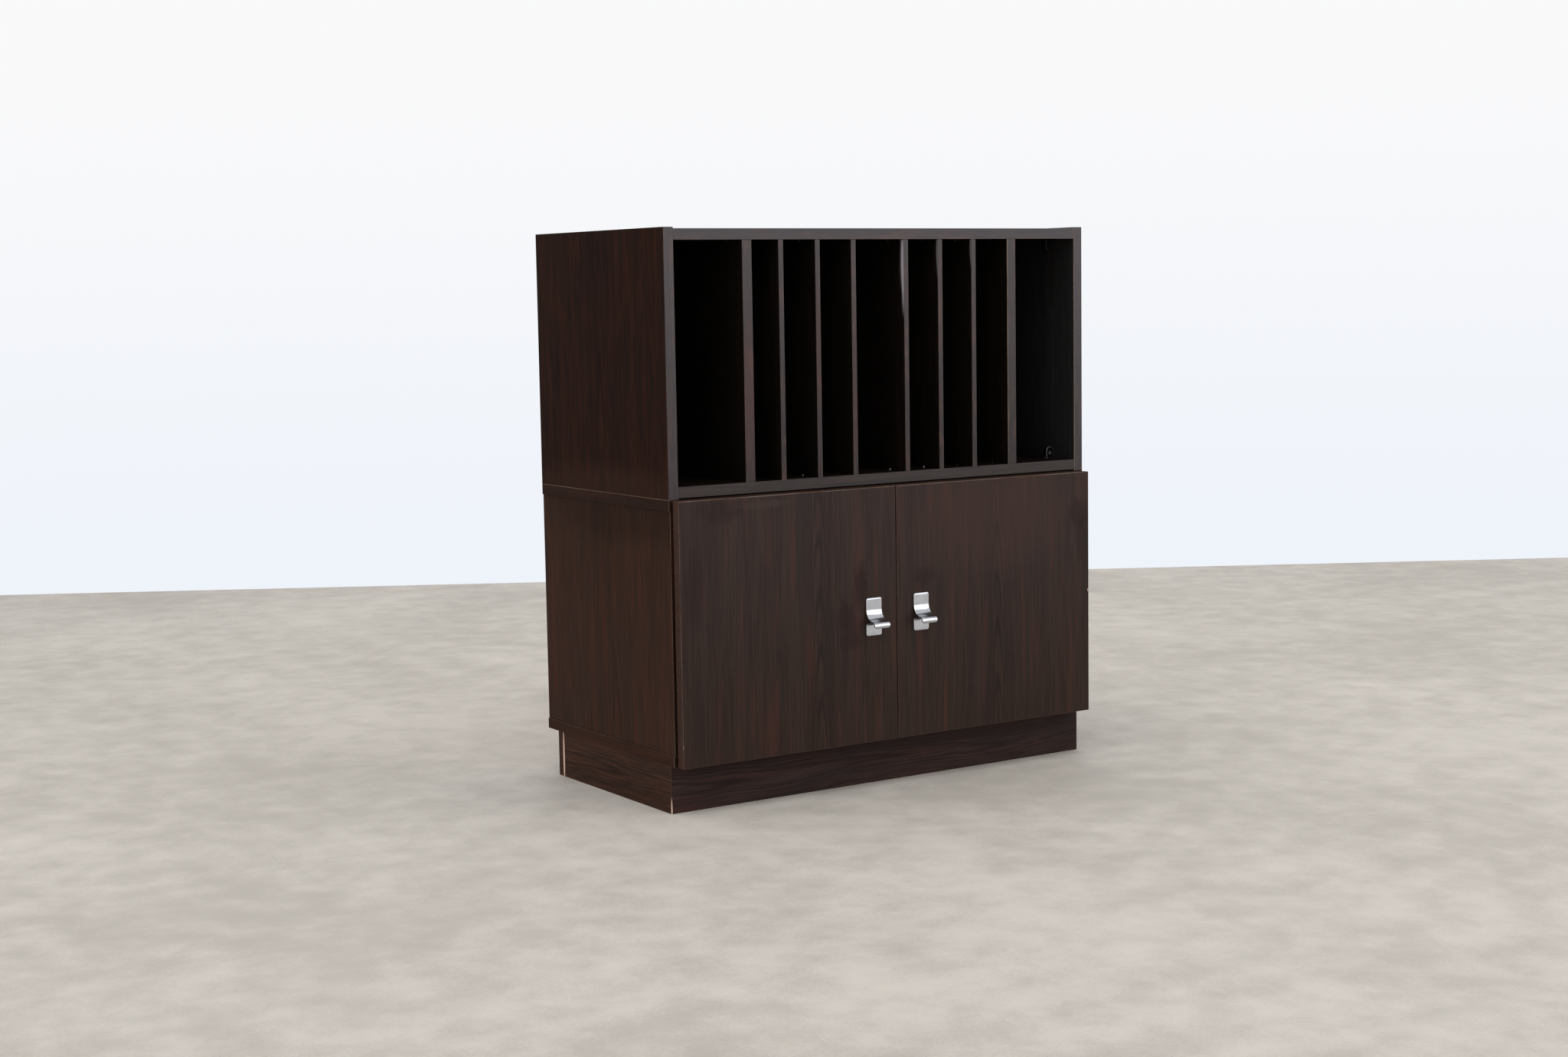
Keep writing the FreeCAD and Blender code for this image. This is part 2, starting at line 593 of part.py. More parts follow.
def plate_screws():
    """Screws through the mounting plate's wings into the case's side."""
    return [pan_screw(SCREW_RADIUS, PLATE_THICKNESS + SCREW_LENGTH,
                      (WALL_X + PLATE_THICKNESS, CASE_FRONT_Y + PLATE_SCREW_INSET,
                       side * PLATE_SCREW_SPACING / 2), X_AXIS * -1) for side in SIDES]


def at_hinges(pieces, side):
    """Copies of hinge-frame pieces at both hinges of the left (-1) or right (+1) door."""
    return [handed(mirrored(moved(piece, -HINGE_PIN_X, HINGE_PIN_Y, z), X_AXIS), side)
            for z in HINGE_HEIGHTS for piece in pieces]


# ---- Catches -------------------------------------------------------------------------------

def magnet_pack(x):
    """Magnet between two steel pole plates, which reach out towards the door."""
    tip = DOOR_BACK + STRIKE_THICKNESS + STRIKE_GAP
    across = (x - MAGNET_WIDTH / 2, x + MAGNET_WIDTH / 2)
    along = (tip, tip + MAGNET_LENGTH)
    half = MAGNET_THICKNESS / 2
    outer = half + POLE_THICKNESS
    magnet = box(across, (tip + POLE_THICKNESS, tip + MAGNET_LENGTH),
                 (CATCH_MIDDLE - half, CATCH_MIDDLE + half))
    poles = [box(across, along, (CATCH_MIDDLE + side * half, CATCH_MIDDLE + side * outer))
             for side in SIDES]
    return [magnet] + poles


def catch_screws(x):
    """Screws up through a catch's ears into the top board."""
    reach = CATCH_WIDTH / 2 + CATCH_EAR_WIDTH / 2
    middle = FRONT + CATCH_SETBACK + CATCH_LENGTH / 2
    return [pan_screw(SCREW_RADIUS, CATCH_EAR_HEIGHT + SCREW_LENGTH,
                      (x + side * reach, middle, LOWER_CEILING - CATCH_EAR_HEIGHT), Z_AXIS)
            for side in SIDES]


def catch_housing(x):
    """Moulded housing under the top board, with rounded lower edges and an ear at each end."""
    along = (FRONT + CATCH_SETBACK, FRONT + CATCH_SETBACK + CATCH_LENGTH)
    bottom = LOWER_CEILING - CATCH_HEIGHT
    body = box((x - CATCH_WIDTH / 2, x + CATCH_WIDTH / 2), along, (bottom, LOWER_CEILING))
    lower = [edge for edge in body.Edges if edge.BoundBox.ZMax < bottom + ON_PLANE]
    body = body.makeFillet(CATCH_ROUND, lower)
    reach = CATCH_WIDTH / 2 + CATCH_EAR_WIDTH
    ears = box((x - reach, x + reach), along, (LOWER_CEILING - CATCH_EAR_HEIGHT, LOWER_CEILING))
    return cut_by(joined([body, ears]), magnet_pack(x) + catch_screws(x))


# ---- Doors, made for the right-hand side ---------------------------------------------------

def side_arc(centre, radius, first, last):
    """Arc in the YZ plane between two angles, in degrees from +Y towards +Z."""
    angles = [math.radians(angle) for angle in (first, (first + last) / 2, last)]
    return Part.Arc(*[centre + FreeCAD.Vector(0, math.cos(angle), math.sin(angle)) * radius
                      for angle in angles])


def pull_hook():
    """Strip that curves out from its plate and turns over into a lip, with round corners."""
    face = DOOR_FRONT - PULL_SHEET
    hollow = FreeCAD.Vector(0, face - PULL_CURVE, PULL_TOP - PULL_CURVE_START)
    back = PULL_CURVE + PULL_LIP - PULL_REACH
    drop = math.sqrt((PULL_CURVE + PULL_LIP) ** 2 - back ** 2)
    lip = hollow + FreeCAD.Vector(0, back, -drop)
    turn = math.degrees(math.atan2(-drop, back))
    upper = [side_arc(hollow, PULL_CURVE, 0, turn),
             side_arc(lip, PULL_LIP, turn + 180, 180 + PULL_LIP_TURN)]
    under = [side_arc(lip, PULL_LIP - PULL_SHEET, 180 + PULL_LIP_TURN, turn + 180),
             side_arc(hollow, PULL_CURVE + PULL_SHEET, turn, 0)]
    top_front = FreeCAD.Vector(0, face, PULL_TOP)
    top_back = FreeCAD.Vector(0, DOOR_FRONT, PULL_TOP)
    outline = [Part.LineSegment(top_front, upper[0].StartPoint), *upper,
               Part.LineSegment(upper[1].EndPoint, under[0].StartPoint), *under,
               Part.LineSegment(under[1].EndPoint, top_back), Part.LineSegment(top_back, top_front)]
    section = Part.Face(Part.Wire([piece.toShape() for piece in outline]))
    solid = moved(section, PULL_OFFSET - PULL_WIDTH / 2).extrude(X_AXIS * PULL_WIDTH)
    corners = [edge for edge in solid.Edges
               if edge.BoundBox.XLength < ON_PLANE and abs(edge.Length - PULL_SHEET) < ON_PLANE]
    return cut_by(solid.makeFillet(PULL_CORNER, corners), pull_screws())


def pull_tab():
    """Flat tab with round corners, low on the door behind the lip."""
    bottom = PULL_TOP - PULL_HEIGHT
    tab = box((PULL_OFFSET - PULL_WIDTH / 2, PULL_OFFSET + PULL_WIDTH / 2),
              (DOOR_FRONT - PULL_SHEET, DOOR_FRONT), (bottom, bottom + PULL_TAB))
    corners = [edge for edge in tab.Edges if edge.BoundBox.YLength > PULL_SHEET - ON_PLANE]
    return cut_by(tab.makeFillet(PULL_CORNER, corners), pull_screws())


def pull_screws():
    """Screws from the back of the door into the hook and the tab."""
    head = PULL_TOP - PULL_SCREW_INSET
    foot = PULL_TOP - PULL_HEIGHT + PULL_SCREW_INSET
    return [pan_screw(PULL_SCREW_RADIUS, BOARD + PULL_SCREW_BITE, (PULL_OFFSET, DOOR_BACK, z),
                      Y_AXIS * -1) for z in (head, foot)]


def strike_plate():
    """Steel plate on the back of the door that the catch holds, with a spigot into the door."""
    across = (CATCH_OFFSET - STRIKE_WIDTH / 2, CATCH_OFFSET + STRIKE_WIDTH / 2)
    height = (CATCH_MIDDLE - STRIKE_HEIGHT / 2, CATCH_MIDDLE + STRIKE_HEIGHT / 2)
    plate = box(across, (DOOR_BACK, DOOR_BACK + STRIKE_THICKNESS), height)
    corners = [edge for edge in plate.Edges
               if edge.BoundBox.YLength > STRIKE_THICKNESS - ON_PLANE]
    plate = plate.makeFillet(STRIKE_CORNER, corners)
    spigot = rod(STRIKE_SPIGOT_RADIUS, (CATCH_OFFSET, DOOR_BACK, CATCH_MIDDLE), Y_AXIS * -1,
                 STRIKE_SPIGOT_LENGTH)
    return joined([plate, spigot])


def door_panel(tools):
    """Core of the right-hand door, inside its edging."""
    core = box((DOOR_INNER + EDGING, DOOR_OUTER - EDGING), (DOOR_FRONT, DOOR_BACK),
               (DOOR_BOTTOM + EDGING, DOOR_TOP - EDGING))
    return cut_by(core, tools)


def door_edging():
    """Four strips around the right-hand door: the upright ones run the full height."""
    depth = (DOOR_FRONT, DOOR_BACK)
    height = (DOOR_BOTTOM, DOOR_TOP)
    between = (DOOR_INNER + EDGING, DOOR_OUTER - EDGING)
    return [box((DOOR_INNER, DOOR_INNER + EDGING), depth, height),
            box((DOOR_OUTER - EDGING, DOOR_OUTER), depth, height),
            box(between, depth, (DOOR_BOTTOM, DOOR_BOTTOM + EDGING)),
            box(between, depth, (DOOR_TOP - EDGING, DOOR_TOP))]


def doors():
    """Every piece of both doors, the left ones mirror images of the right ones."""
    screws = at_hinges(cup_screws(), 1)
    holes = at_hinges([cup_body(CUP_RADIUS, CUP_DEPTH)], 1)
    right = {
        "door_panel": [door_panel(holes + screws + pull_screws() + [strike_plate()])],
        "door_edging": door_edging(),
        "hinge_cups": at_hinges([hinge_cup()], 1),
        "hinge_pins": at_hinges([hinge_pin()], 1),
        "hinge_cup_screws": screws,
        "pull": [pull_hook(), pull_tab()],
        "pull_screws": pull_screws(),
        "strike_plate": [strike_plate()],
    }
    pieces = {}
    for side, name in zip(SIDES, ("left", "right")):
        for node, solids in right.items():
            pieces["%s_%s" % (name, node)] = [handed(solid, side) for solid in solids]
    return pieces


# ---- Cabinet -------------------------------------------------------------------------------

def cabinet():
    """Every node of the cabinet with its solids."""
    pins = divider_pins()
    upper_fittings = at_corners(corner_fitting(), INNER_HALF, UPPER_FLOOR, UPPER_CEILING)
    upper_bolts = at_corners(fitting_bolt(), INNER_HALF, UPPER_FLOOR, UPPER_CEILING)
    upper_cams = at_corners(fitting_cam(), INNER_HALF, UPPER_FLOOR, UPPER_CEILING)
    lower_fittings = at_corners(corner_fitting(), SIDE_INNER, LOWER_FLOOR, LOWER_CEILING)
    lower_bolts = at_corners(fitting_bolt(), SIDE_INNER, LOWER_FLOOR, LOWER_CEILING)
    lower_cams = at_corners(fitting_cam(), SIDE_INNER, LOWER_FLOOR, LOWER_CEILING)
    case_dowels = upper_dowels() + lower_dowels()
    stackers = stacking_dowels()
    block_screws = plinth_block_screws()
    catches = [side * CATCH_OFFSET for side in SIDES]
    under_top_screws = [screw for x in catches for screw in catch_screws(x)]
    hinge_plates = at_hinges([mounting_plate()], -1) + at_hinges([mounting_plate()], 1)
    hinge_plate_screws = at_hinges(plate_screws(), -1) + at_hinges(plate_screws(), 1)
    pieces = {
        "divider_pins": pins,
        "corner_fittings": upper_fittings + lower_fittings,
        "corner_fitting_screws": upper_bolts + upper_cams + lower_bolts + lower_cams,
        "dowels": case_dowels + stackers,
        "plinth_block_screws": block_screws,
        "hinge_mounting_plates": hinge_plates,
        "hinge_plate_screws": hinge_plate_screws,
        "hinge_arms": at_hinges([hinge_arm()], -1) + at_hinges([hinge_arm()], 1),
        "hinge_arm_screws": at_hinges(arm_screws(), -1) + at_hinges(arm_screws(), 1),
        "catch_housings": [catch_housing(x) for x in catches],
        "catch_magnets": [solid for x in catches for solid in magnet_pack(x)],
        "catch_screws": under_top_screws,
    }
    pieces.update(upper_case(pins, upper_fittings, upper_bolts, case_dowels, stackers))
    pieces.update(uprights())
    pieces.update(lower_case(lower_fittings, lower_bolts, hinge_plate_screws,
                             under_top_screws + block_screws, case_dowels, stackers))
    pieces.update(plinth(block_screws))
    pieces.update(doors())
    return pieces


os.makedirs("parts", exist_ok=True)
for node, solids in cabinet().items():
    shape = solids[0] if len(solids) == 1 else Part.makeCompound(solids)
    shape.exportStep("parts/%s.step" % node)
    print("%-26s %3d solids, valid %s" % (node, len(shape.Solids), shape.isValid()))
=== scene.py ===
"""Dresses the record cabinet: an open upper case with upright dividers on a two-door lower case.

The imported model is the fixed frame. Boards are copies of its solids with eased, rubbed edges, the
fasteners and pins are made with Geometry Nodes, and every piece gets a node-built finish.
"""

import json
import logging
import math
from collections.abc import Callable, Iterable, Mapping, Sequence
from dataclasses import dataclass, field, replace
from enum import Enum
from functools import partial, reduce
from typing import Any, ClassVar

import bmesh
import bpy
from mathutils import Matrix, Vector

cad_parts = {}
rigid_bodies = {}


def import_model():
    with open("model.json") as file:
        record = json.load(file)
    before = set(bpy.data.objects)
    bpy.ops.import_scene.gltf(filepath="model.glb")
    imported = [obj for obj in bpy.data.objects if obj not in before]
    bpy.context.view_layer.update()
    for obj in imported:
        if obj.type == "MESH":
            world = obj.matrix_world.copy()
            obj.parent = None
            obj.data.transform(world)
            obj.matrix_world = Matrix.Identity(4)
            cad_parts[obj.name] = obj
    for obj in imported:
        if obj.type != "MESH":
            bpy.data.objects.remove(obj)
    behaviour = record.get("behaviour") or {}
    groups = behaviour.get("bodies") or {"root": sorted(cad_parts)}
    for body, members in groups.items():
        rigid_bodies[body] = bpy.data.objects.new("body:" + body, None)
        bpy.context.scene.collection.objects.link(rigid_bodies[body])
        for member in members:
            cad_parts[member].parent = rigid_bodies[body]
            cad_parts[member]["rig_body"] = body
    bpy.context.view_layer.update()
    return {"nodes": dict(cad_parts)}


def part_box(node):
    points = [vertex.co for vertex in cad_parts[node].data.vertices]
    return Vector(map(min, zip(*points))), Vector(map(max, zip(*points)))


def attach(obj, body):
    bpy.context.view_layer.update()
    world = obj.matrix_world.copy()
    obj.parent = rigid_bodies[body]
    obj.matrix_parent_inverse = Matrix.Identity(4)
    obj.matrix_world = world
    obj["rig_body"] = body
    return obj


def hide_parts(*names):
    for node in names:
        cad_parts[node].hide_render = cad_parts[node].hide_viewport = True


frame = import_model()

LOG = logging.getLogger("record_cabinet")
MM = 0.001
NEAR = 1.5 * MM
FLAT = math.radians(0.6)
FACING = 0.9
IMAGE_SIZE = (2048, 1380)

Socket = bpy.types.NodeSocket
Point = tuple[float, float, float]
Bend = tuple[float, float, float, float]
Colour = tuple[int, int, int]
Tones = tuple[Colour, Colour, Colour]
WearRule = Callable[[Vector], float]
HeadRule = Callable[[Vector], Vector]


# ---- Small helpers ---------------------------------------------------------------------------


def linear(colour: Colour) -> tuple[float, ...]:
    """Linear red, green, blue and alpha of a colour that is given in display steps."""
    steps = (step / 255 for step in colour)
    return (*(s / 12.92 if s <= 0.04045 else ((s + 0.055) / 1.055) ** 2.4 for s in steps), 1.0)


def low(node: str) -> Vector:
    """Lowest corner of a CAD node."""
    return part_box(node)[0]


def high(node: str) -> Vector:
    """Highest corner of a CAD node."""
    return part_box(node)[1]


def unworn(place: Vector) -> float:
    """Wear of an edge that nothing rubs."""
    return 0.0


def put(name: str, data: bpy.types.ID) -> bpy.types.Object:
    """Puts a mesh, lamp or camera into the scene.

    Args:
        name: Name of its object.
        data: The mesh, lamp or camera.

    Returns:
        The object.
    """
    thing = bpy.data.objects.new(name, data)
    bpy.context.scene.collection.objects.link(thing)
    return thing


class GrainRun(Enum):
    """Way that a board's grain runs, as the turn between that way and +Z."""

    UPRIGHT = (0.0, 0.0, 0.0)
    ACROSS = (0.0, math.pi / 2, 0.0)
    DEPTH = (math.pi / 2, 0.0, 0.0)


class Way(Enum):
    """Ways that a flat face can look."""

    LEFT = (-1.0, 0.0, 0.0)
    RIGHT = (1.0, 0.0, 0.0)
    FRONT = (0.0, -1.0, 0.0)
    BACK = (0.0, 1.0, 0.0)
    DOWN = (0.0, 0.0, -1.0)
    UP = (0.0, 0.0, 1.0)

    def meets(self, normal: Vector) -> bool:
        """True for a face whose normal looks this way."""
        return normal.dot(Vector(self.value)) > FACING


# ---- Node trees ------------------------------------------------------------------------------


@dataclass
class Wiring:
    """A node tree that is being filled. Each node is added with its inputs set or joined."""

    tree: bpy.types.NodeTree

    def add(self, kind: str, inputs: Mapping[str | int, Any] | None = None,
            **settings: Any) -> bpy.types.Node:
        """Adds a node.

        Args:
            kind: Blender's name for the node's type.
            inputs: Socket name or number to a value, an output or a list of outputs. A colour is
                given in display steps.
            settings: The node's own properties.

        Returns:
            The node.
        """
        node = self.tree.nodes.new(kind)
        for name, value in settings.items():
            setattr(node, name, value)
        for key, value in (inputs or {}).items():
            socket = node.inputs[key]
            sources = value if isinstance(value, list) else [value]
            if not isinstance(sources[0], Socket):
                socket.default_value = linear(value) if socket.type == "RGBA" else value
                continue
            for source in sources:
                self.tree.links.new(source, socket)
        return node

    def math(self, operation: str, first: Any, second: Any = 0.0, clamp: bool = False) -> Socket:
        """Joins two numbers with one operation.

        Args:
            operation: Blender's name for it.
            first: A number or an output.
            second: A number or an output.
            clamp: Keeps the result between 0 and 1.

        Returns:
            The result.
        """
        node = self.add("ShaderNodeMath", {0: first, 1: second}, operation=operation, use_clamp=clamp)
        return node.outputs[0]

    def vector(self, operation: str, first: Any, second: Any = (0.0, 0.0, 0.0)) -> Socket:
        """Joins two vectors with one operation.

        Args:
            operation: Blender's name for it.
            first: A vector or an output.
            second: A vector or an output.

        Returns:
            The vector, or the number that LENGTH gives.
        """
        node = self.add("ShaderNodeVectorMath", {0: first, 1: second}, operation=operation)
        return node.outputs["Value" if operation == "LENGTH" else "Vector"]

    def times(self, first: Any, second: Any) -> Socket:
        """Product of two numbers."""
        return self.math("MULTIPLY", first, second)

    def total(self, *parts: tuple[Any, float]) -> Socket:
        """Sum of numbers, each given with its share."""
        return reduce(partial(self.math, "ADD"), [self.times(*part) for part in parts])

    def split(self, vector: Any) -> Sequence[Socket]:
        """X, Y and Z of a vector."""
        return self.add("ShaderNodeSeparateXYZ", {0: vector}).outputs

    def joined(self, x: Any = 0.0, y: Any = 0.0, z: Any = 0.0) -> Socket:
        """The vector with these parts."""
        return self.add("ShaderNodeCombineXYZ", {0: x, 1: y, 2: z}).outputs[0]

    def blend(self, share: Any, start: Any, end: Any) -> Socket:
        """The first colour mixed with a share of the second."""
        return self.add("ShaderNodeMix", {0: share, 6: start, 7: end}, data_type="RGBA").outputs[2]

    def tint(self, colour: Any, end: Any, mask: Any, share: float) -> Socket:
        """The colour mixed with a second one by a share of a mask."""
        return self.blend(self.times(mask, share), colour, end)

    def span(self, value: Any, from_low: float, from_high: float, to_low: float = 0.0,
             to_high: float = 1.0) -> Socket:
        """Carries one range of numbers onto another, and stops at its ends.

        Args:
            value: The number to carry.
            from_low: Start of its range.
            from_high: End of its range.
            to_low: What the start becomes.
            to_high: What the end becomes.

        Returns:
            The carried number.
        """
        ends = {"From Min": from_low, "From Max": from_high, "To Min": to_low, "To Max": to_high}
        node = self.add("ShaderNodeMapRange", {"Value": value, **ends}, interpolation_type="SMOOTHSTEP")
        return node.outputs["Result"]

    def noise(self, place: Any, scale: Point | float, seed: Any = 0.0, detail: float = 2.0,
              rough: float = 0.5) -> Socket:
        """Noise with its own number of cells per metre along each axis.

        Args:
            place: Where it is read.
            scale: Cells per metre, along X, Y and Z or the same along each.
            seed: Which noise it is.
            detail: Finer layers on top of the first.
            rough: How strong they are.

        Returns:
            The noise, from 0 to 1. Its node has a Color too.
        """
        cells = scale if isinstance(scale, tuple) else (scale, scale, scale)
        node = self.add("ShaderNodeTexNoise", {"Vector": self.vector("MULTIPLY", place, cells), "W": seed,
                                               "Scale": 1.0, "Detail": detail, "Roughness": rough},
                        noise_dimensions="4D")
        return node.outputs[0]

    def ramp(self, value: Any, tones: Tones) -> Socket:
        """Three tones spread evenly along a range.

        Args:
            value: From 0 to 1.
            tones: Dark, plain and light tone.

        Returns:
            The colour.
        """
        node = self.add("ShaderNodeValToRGB", {0: value})
        bar = node.color_ramp.elements
        bar.new(0.5)
        for element, where, tone in zip(bar, (0.0, 0.5, 1.0), tones):
            element.position = where
            element.color = linear(tone)
        return node.outputs["Color"]

    def bump(self, height: Any, distance: float, strength: float = 1.0) -> Socket:
        """Normal of a surface raised by a pattern.

        Args:
            height: From 0 to 1.
            distance: Metres that a height of 1 stands out.
            strength: Share of the effect.

        Returns:
            The normal.
        """
        return self.add("ShaderNodeBump", {"Height": height, "Distance": distance,
                                           "Strength": strength}).outputs["Normal"]


class Effect:
    """A shader node group that several finishes use, built once and placed with their values."""

    name: ClassVar[str]
    vectors: ClassVar[Sequence[str]] = ("Vector",)
    numbers: ClassVar[Sequence[str]] = ("Seed",)
    gives: ClassVar[Sequence[str]]

    def fill(self, wiring: Wiring, given: Mapping[str, Socket]) -> dict[str, Socket]:
        """Adds the group's own nodes.

        Args:
            wiring: The group's tree.
            given: Its inputs by name.

        Returns:
            What feeds each output, by name.
        """
        raise NotImplementedError

    def place(self, wiring: Wiring, inputs: Mapping[str, Any]) -> Sequence[Socket]:
        """Puts the group in a material, and builds it first if it is new.

        Args:
            wiring: The material's tree.
            inputs: Values and outputs for its inputs.

        Returns:
            The group's outputs, in the order that it gives them.
        """
        tree = bpy.data.node_groups.get(self.name)
        if tree is None:
            tree = bpy.data.node_groups.new(self.name, "ShaderNodeTree")
            for titles, way, kind in ((self.vectors, "INPUT", "Vector"), (self.numbers, "INPUT", "Float"),
                                      (self.gives, "OUTPUT", "Float")):
                for title in titles:
                    tree.interface.new_socket(title, in_out=way, socket_type="NodeSocket" + kind)
            inner = Wiring(tree)
            inner.add("NodeGroupOutput", self.fill(inner, inner.add("NodeGroupInput").outputs))
        return wiring.add("ShaderNodeGroup", inputs, node_tree=tree).outputs


class WoodGrain(Effect):
    """Streaks, shifts of hue, growth lines and pores of a woodgrain whose grain runs along Z."""

    name = "wood_grain"
    numbers = ("Seed", "Spread", "Rise", "Wave", "Broken")
    gives = ("Tone", "Warm", "Cool", "Line", "Pore")

    def fill(self, wiring: Wiring, given: Mapping[str, Socket]) -> dict[str, Socket]:
        """Adds the streak, hue, growth line and pore layers.

        Args:
            wiring: The group's tree.
            given: Place, seed, half width of the growth figure, its rise from line to line, how far
                the grain wanders sideways, and how many times shorter than usual its streaks are.

        Returns:
            Tone, warm, cool, line and pore, each from 0 to 1.
        """
        seed = given["Seed"]
        wander = wiring.noise(given["Vector"], (6.0, 6.0, 3.2), seed).node.outputs["Color"]
        shift = wiring.vector("MULTIPLY", wiring.vector("SUBTRACT", wander, (0.5, 0.5, 0.5)),
                              wiring.joined(given["Wave"], given["Wave"]))
        place = wiring.vector("ADD", given["Vector"], shift)
        streaked = wiring.vector("MULTIPLY", place, wiring.joined(1.0, 1.0, given["Broken"]))
        fine = wiring.noise(streaked, (520.0, 520.0, 9.0), seed, rough=0.6)
        broad = wiring.noise(streaked, (150.0, 150.0, 5.0), seed, rough=0.6)
        band = wiring.noise(place, (30.0, 30.0, 1.2), seed, 1.0)
        mixed = wiring.total((fine, 0.60), (broad, 0.22), (band, 0.18))
        hue = wiring.noise(streaked, (65.0, 65.0, 4.5), wiring.math("ADD", seed, 7.3), 3.0, 0.6)
        x, y, z = wiring.split(place)
        across = wiring.math("DIVIDE", wiring.math("ADD", x, y), given["Spread"])
        arch = wiring.math("ADD", wiring.math("DIVIDE", z, given["Rise"]), wiring.times(across, across))
        ragged = wiring.noise(place, (40.0, 40.0, 5.0), seed)
        wave = wiring.math("PINGPONG", wiring.math("ADD", arch, ragged), 0.5)
        fade = wiring.span(wiring.math("ABSOLUTE", across), 1.6, 3.6, 1.0, 0.0)
        pore = wiring.noise(place, (1250.0, 1250.0, 42.0), seed, 1.0)
        return {"Tone": wiring.span(mixed, 0.36, 0.64), "Warm": wiring.span(hue, 0.52, 0.68),
                "Cool": wiring.span(hue, 0.48, 0.32), "Pore": wiring.span(pore, 0.56, 0.72),
                "Line": wiring.times(wiring.span(wave, 0.22, 0.5), fade)}


class EdgeWear(Effect):
    """Uneven mask of an eased edge, as rub wear towards its core and, on some rims, a painted highlight.
    """

    name = "edge_wear"
    numbers = ("Rim", "Seed")
    gives = ("Worn",)

    def fill(self, wiring: Wiring, given: Mapping[str, Socket]) -> dict[str, Socket]:
        """Adds long and short changes along the rim.

        Args:
            wiring: The group's tree.
            given: Place, how worn the rim is there, and seed.

        Returns:
            The worn share, from 0 to 1.
        """
        long, short = (wiring.noise(given["Vector"], scale, given["Seed"]) for scale in (11.0, 170.0))
        uneven = wiring.span(wiring.total((long, 0.65), (short, 0.35)), 0.32, 0.66, 0.2, 1.0)
        return {"Worn": wiring.times(uneven, given["Rim"])}


class Patch(Effect):
    """Soft ragged spot, such as hand grease, a chip or a scuff."""

    name = "patch"
    vectors = ("Vector", "Middle", "Reach")
    numbers = ("Ragged", "Seed")
    gives = ("Mask",)

    def fill(self, wiring: Wiring, given: Mapping[str, Socket]) -> dict[str, Socket]:
        """Adds the spot's falloff and its ragged edge.

        Args:
            wiring: The group's tree.
            given: Place, the spot's middle and its reach along each axis, raggedness and seed.

        Returns:
            The mask, 1 in the middle and 0 past the reach.
        """
        offset = wiring.vector("SUBTRACT", given["Vector"], given["Middle"])
        away = wiring.vector("DIVIDE", offset, given["Reach"])
        breaks = wiring.noise(away, (2.2, 2.2, 1.4), given["Seed"], 5.0, 0.65)
        ragged = wiring.times(wiring.math("SUBTRACT", breaks, 0.5), given["Ragged"])
        distance = wiring.math("ADD", wiring.vector("LENGTH", away), ragged)
        return {"Mask": wiring.span(distance, 0.35, 1.0, 1.0, 0.0)}


class Smears(Effect):
    """Faint wiping marks and settled dust that break up a satin surface."""

    name = "smears"
    gives = ("Smear", "Dust")

    def fill(self, wiring: Wiring, given: Mapping[str, Socket]) -> dict[str, Socket]:
        """Adds wiped arcs and dust on faces that look up.

        Args:
            wiring: The group's tree.
            given: Place and seed.

        Returns:
            Smears and dust, each from 0 to 1.
        """
        place, seed = given["Vector"], given["Seed"]
        cloud = wiring.span(wiring.noise(place, (9.0, 9.0, 5.0), seed, 3.0, 0.6), 0.42, 0.7)
        wiped = wiring.span(wiring.noise(place, (30.0, 30.0, 90.0), seed), 0.35, 0.7)
        up = wiring.split(wiring.add("ShaderNodeNewGeometry").outputs["Normal"])[2]
        grit = wiring.span(wiring.noise(place, 900.0, seed), 0.4, 0.75)
        return {"Smear": wiring.times(cloud, wiped), "Dust": wiring.times(wiring.span(up, 0.6, 1.0), grit)}


class Drawn(Effect):
    """Fine lines left along X by drawing, brushing or rolling a metal."""

    name = "drawn_lines"
    gives = ("Line", "Cloud")

    def fill(self, wiring: Wiring, given: Mapping[str, Socket]) -> dict[str, Socket]:
        """Adds the lines and a slow change of sheen.

        Args:
            wiring: The group's tree.
            given: Place and seed.

        Returns:
            Lines and cloud, each from 0 to 1.
        """
        line = wiring.noise(given["Vector"], (45.0, 4200.0, 4200.0), given["Seed"], rough=0.6)
        cloud = wiring.noise(given["Vector"], 120.0, given["Seed"], 3.0)
        return {"Line": wiring.span(line, 0.3, 0.7), "Cloud": wiring.span(cloud, 0.3, 0.7)}


class Flakes(Effect):
    """Pressed chips of a raw board edge, or the fibres of a hardboard with finer values."""

    name = "flakes"
    numbers = ("Size", "Seed")
    gives = ("Chip", "Gap")

    def fill(self, wiring: Wiring, given: Mapping[str, Socket]) -> dict[str, Socket]:
        """Adds chips of random tone and the dark gaps between them.

        Args:
            wiring: The group's tree.
            given: Place, size of a chip in metres, and seed.

        Returns:
            Tone of the chip and depth of the gap, each from 0 to 1.
        """
        size = given["Size"]
        place = wiring.vector("DIVIDE", given["Vector"], wiring.joined(size, size, size))
        bend = wiring.noise(place, 0.7, given["Seed"]).node.outputs["Color"]
        bent = wiring.vector("ADD", place, bend)
        cell = wiring.add("ShaderNodeTexVoronoi", {"Vector": bent, "Scale": 1.0})
        return {"Chip": wiring.split(cell.outputs["Color"])[0],
                "Gap": wiring.span(cell.outputs["Distance"], 0.3, 0.75)}


# ---- Finishes --------------------------------------------------------------------------------


DUST = (150, 142, 132)
# Paler tone that some laminates are painted with by height, as painted light.
PAINTED_LIGHT_TONE = (150, 142, 148)
# Brightened metal of marked rims: rub wear and painted highlight.
RUB_AND_HIGHLIGHT_METAL = (240, 241, 243)
SPECKS = (120, 112, 104)
HUE_SHARE = 0.6
PORE_SHARE = 0.3


